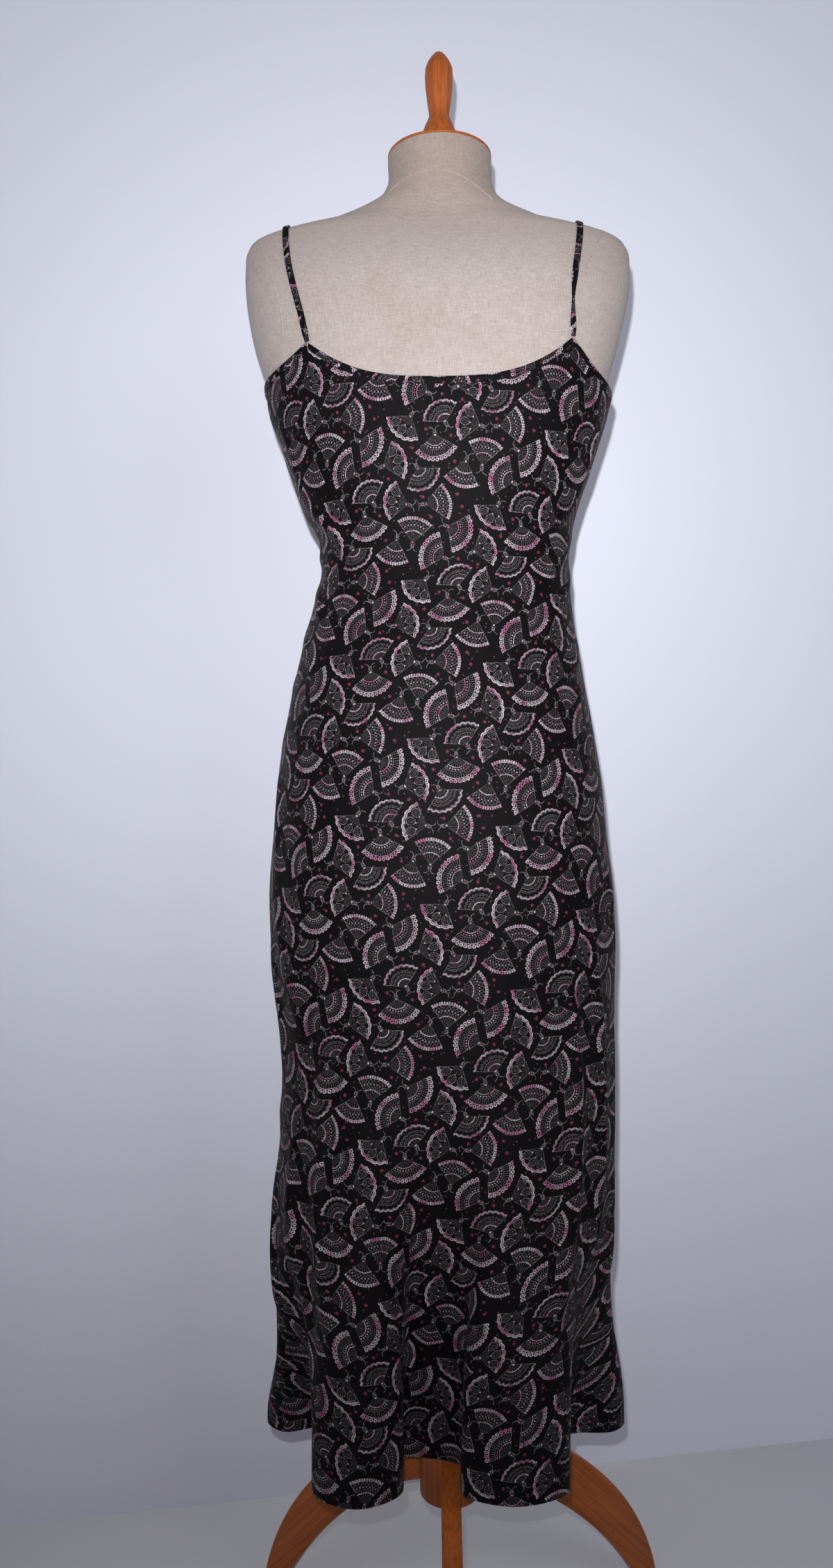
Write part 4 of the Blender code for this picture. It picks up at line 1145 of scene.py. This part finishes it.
def leg(node, facing, reach):
    """A curved board leg with softened edges, its grain along the board."""
    upper, under = (bezier(*line, np.linspace(0.0, 1.0, LEG_STEPS)[:, None])
                    for line in np.array((LEG_UPPER_EDGE, LEG_UNDERSIDE)))
    seat = upper[0, 0]
    outline = np.vstack([upper, (upper[-1, 0] - LEG_TOE, 0.0), (under[0, 0] + LEG_TOE, 0.0), under])
    outline[:, 0] = seat + (outline[:, 0] - seat) * reach
    ahead = unit(np.roll(outline, -1, axis=0) - np.roll(outline, 1, axis=0))
    inward = np.column_stack([ahead[:, 1], -ahead[:, 0]])
    out, across = (np.array([*way, 0.0]) for way in facing_axes(facing))
    edge = [(0.5 * LEG_THICKNESS - LEG_ROUNDING * aside, LEG_ROUNDING * lower) for aside, lower in LEG_EDGE]
    rings = []
    flat = []
    for aside, lower in [(-aside, lower) for aside, lower in edge] + edge[::-1]:
        line = outline + lower * inward
        line[:, 1] = np.maximum(line[:, 1], 0.0)
        rings.append(out * line[:, :1] + across * aside + np.array([0.0, 0.0, 1.0]) * line[:, 1:])
        flat.append(np.column_stack([line[:, 0] - line[:, 1], line.sum(axis=1), np.full(len(line), aside)]))
    add_piece(node + "_wood", swept(np.array(rings)), np.vstack(flat) * GRAIN_SQUEEZE, "beech", node, 35.0)


# ---------------------------------------------------------------- the whole scene
def build_form():
    """The dress form; returns its skin."""
    skin = torso()
    for name, (facing, line) in FORM_SEAMS.items():
        laid = form_seam(name, facing, line, skin)
        if name.startswith("collar"):
            stitches(name + "_stitches", *laid)
    cap_bottom = TORSO_SECTIONS["z"][-1] + FIT_GAP
    turned_piece("neck_cap", rounded_disc(CAP_RADIUS, CAP_THICKNESS, CAP_ROUNDING), cap_bottom)
    turned_piece("finial", in_metres(FINIAL_PROFILE), cap_bottom + CAP_THICKNESS + FIT_GAP)
    turned_piece("hub", rounded_disc(HUB_RADIUS, HUB_TOP - HUB_BOTTOM, HUB_ROUNDING), HUB_BOTTOM)
    for node, (facing, reach) in LEGS.items():
        leg(node, facing, reach)
    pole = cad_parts["pole"].data.materials
    pole.clear()
    brushing = (60.0, 60.0, 3000.0)
    pole.append(mottled_material("pole_metal", STEEL, 0.8, brushing, 0.6, 0.0002, Roughness=0.34, Metallic=0.9))
    return skin


def build_dress(skin):
    """The dress's pieces, made half by half, with the straps and armhole bindings."""
    shared = [strap(hand, skin) for hand in HANDS] + [armhole_binding(hand) for hand in HANDS]
    for side, edge in EDGES.items():
        piece, width, area = panel(side)
        extras = [neck_binding(side)] + inner_strips(side)
        if side == "back":
            extras += shared


def stage_plane(name, corners, material):
    """A flat backdrop through four corners; lights shine through it from behind."""
    mesh = bpy.data.meshes.new(name)
    mesh.from_pydata([tuple(Vector(corner) + STAND) for corner in corners], [], [(0, 1, 2, 3)])
    mesh.materials.append(material)
    plane = placed(name, mesh)
    plane.visible_shadow = False


def area_light(name, place, target, size, spread, power):
    """A square area light aimed at its target."""
    data = bpy.data.lights.new(name, "AREA")
    data.size = size
    data.spread = math.radians(spread)
    data.energy = power
    aim = Vector(target) - Vector(place)
    placed(name, data).matrix_world = (Matrix.Translation(Vector(place) + STAND)
                                       @ aim.to_track_quat("-Z", "Y").to_matrix().to_4x4())


def set_stage():
    """Floor, wall, lights and camera."""
    scene = bpy.context.scene
    floor = [(x * FLOOR_REACH, y * FLOOR_REACH, 0.0) for x, y in ((-1, -1), (1, -1), (1, 1), (-1, 1))]
    stage_plane("floor", floor, mottled_material("floor", FLOOR_COLOUR, 0.97, 3.0, Roughness=0.7))
    along = WALL_REACH * Vector((math.cos(WALL_TURN), math.sin(WALL_TURN), 0.0))
    left, right = Vector(WALL_PLACE) + along, Vector(WALL_PLACE) - along
    up = Vector((0.0, 0.0, WALL_REACH))
    paint = mottled_material("wall", WALL_COLOUR, 0.97, 3.0, one_sided=True, Roughness=0.8)
    stage_plane("wall", (left, right, right + up, left + up), paint)
    for name, row in LIGHTS.items():
        area_light(name, *row)
    scene.world = bpy.data.worlds.new("sky")
    scene.world.use_nodes = True
    background = scene.world.node_tree.nodes["Background"]
    background.inputs["Color"].default_value = (*SKY_COLOUR, 1.0)
    background.inputs["Strength"].default_value = SKY_STRENGTH
    data = bpy.data.cameras.new("camera")
    data.lens = CAMERA_LENS
    data.sensor_width = CAMERA_SENSOR
    data.shift_y = CAMERA_SHIFT
    data.clip_start = CAMERA_NEAREST
    scene.camera = placed("camera", data)
    aim = Matrix.Rotation(math.pi, 4, "Z") @ Matrix.Rotation(0.5 * math.pi, 4, "X")
    scene.camera.matrix_world = (Matrix.Translation(Vector(CAMERA_PLACE) + STAND) @ aim
                                 @ Matrix.Rotation(CAMERA_ROLL, 4, "Z"))
    scene.view_settings.view_transform = "Standard"


set_stage()
build_dress(build_form())
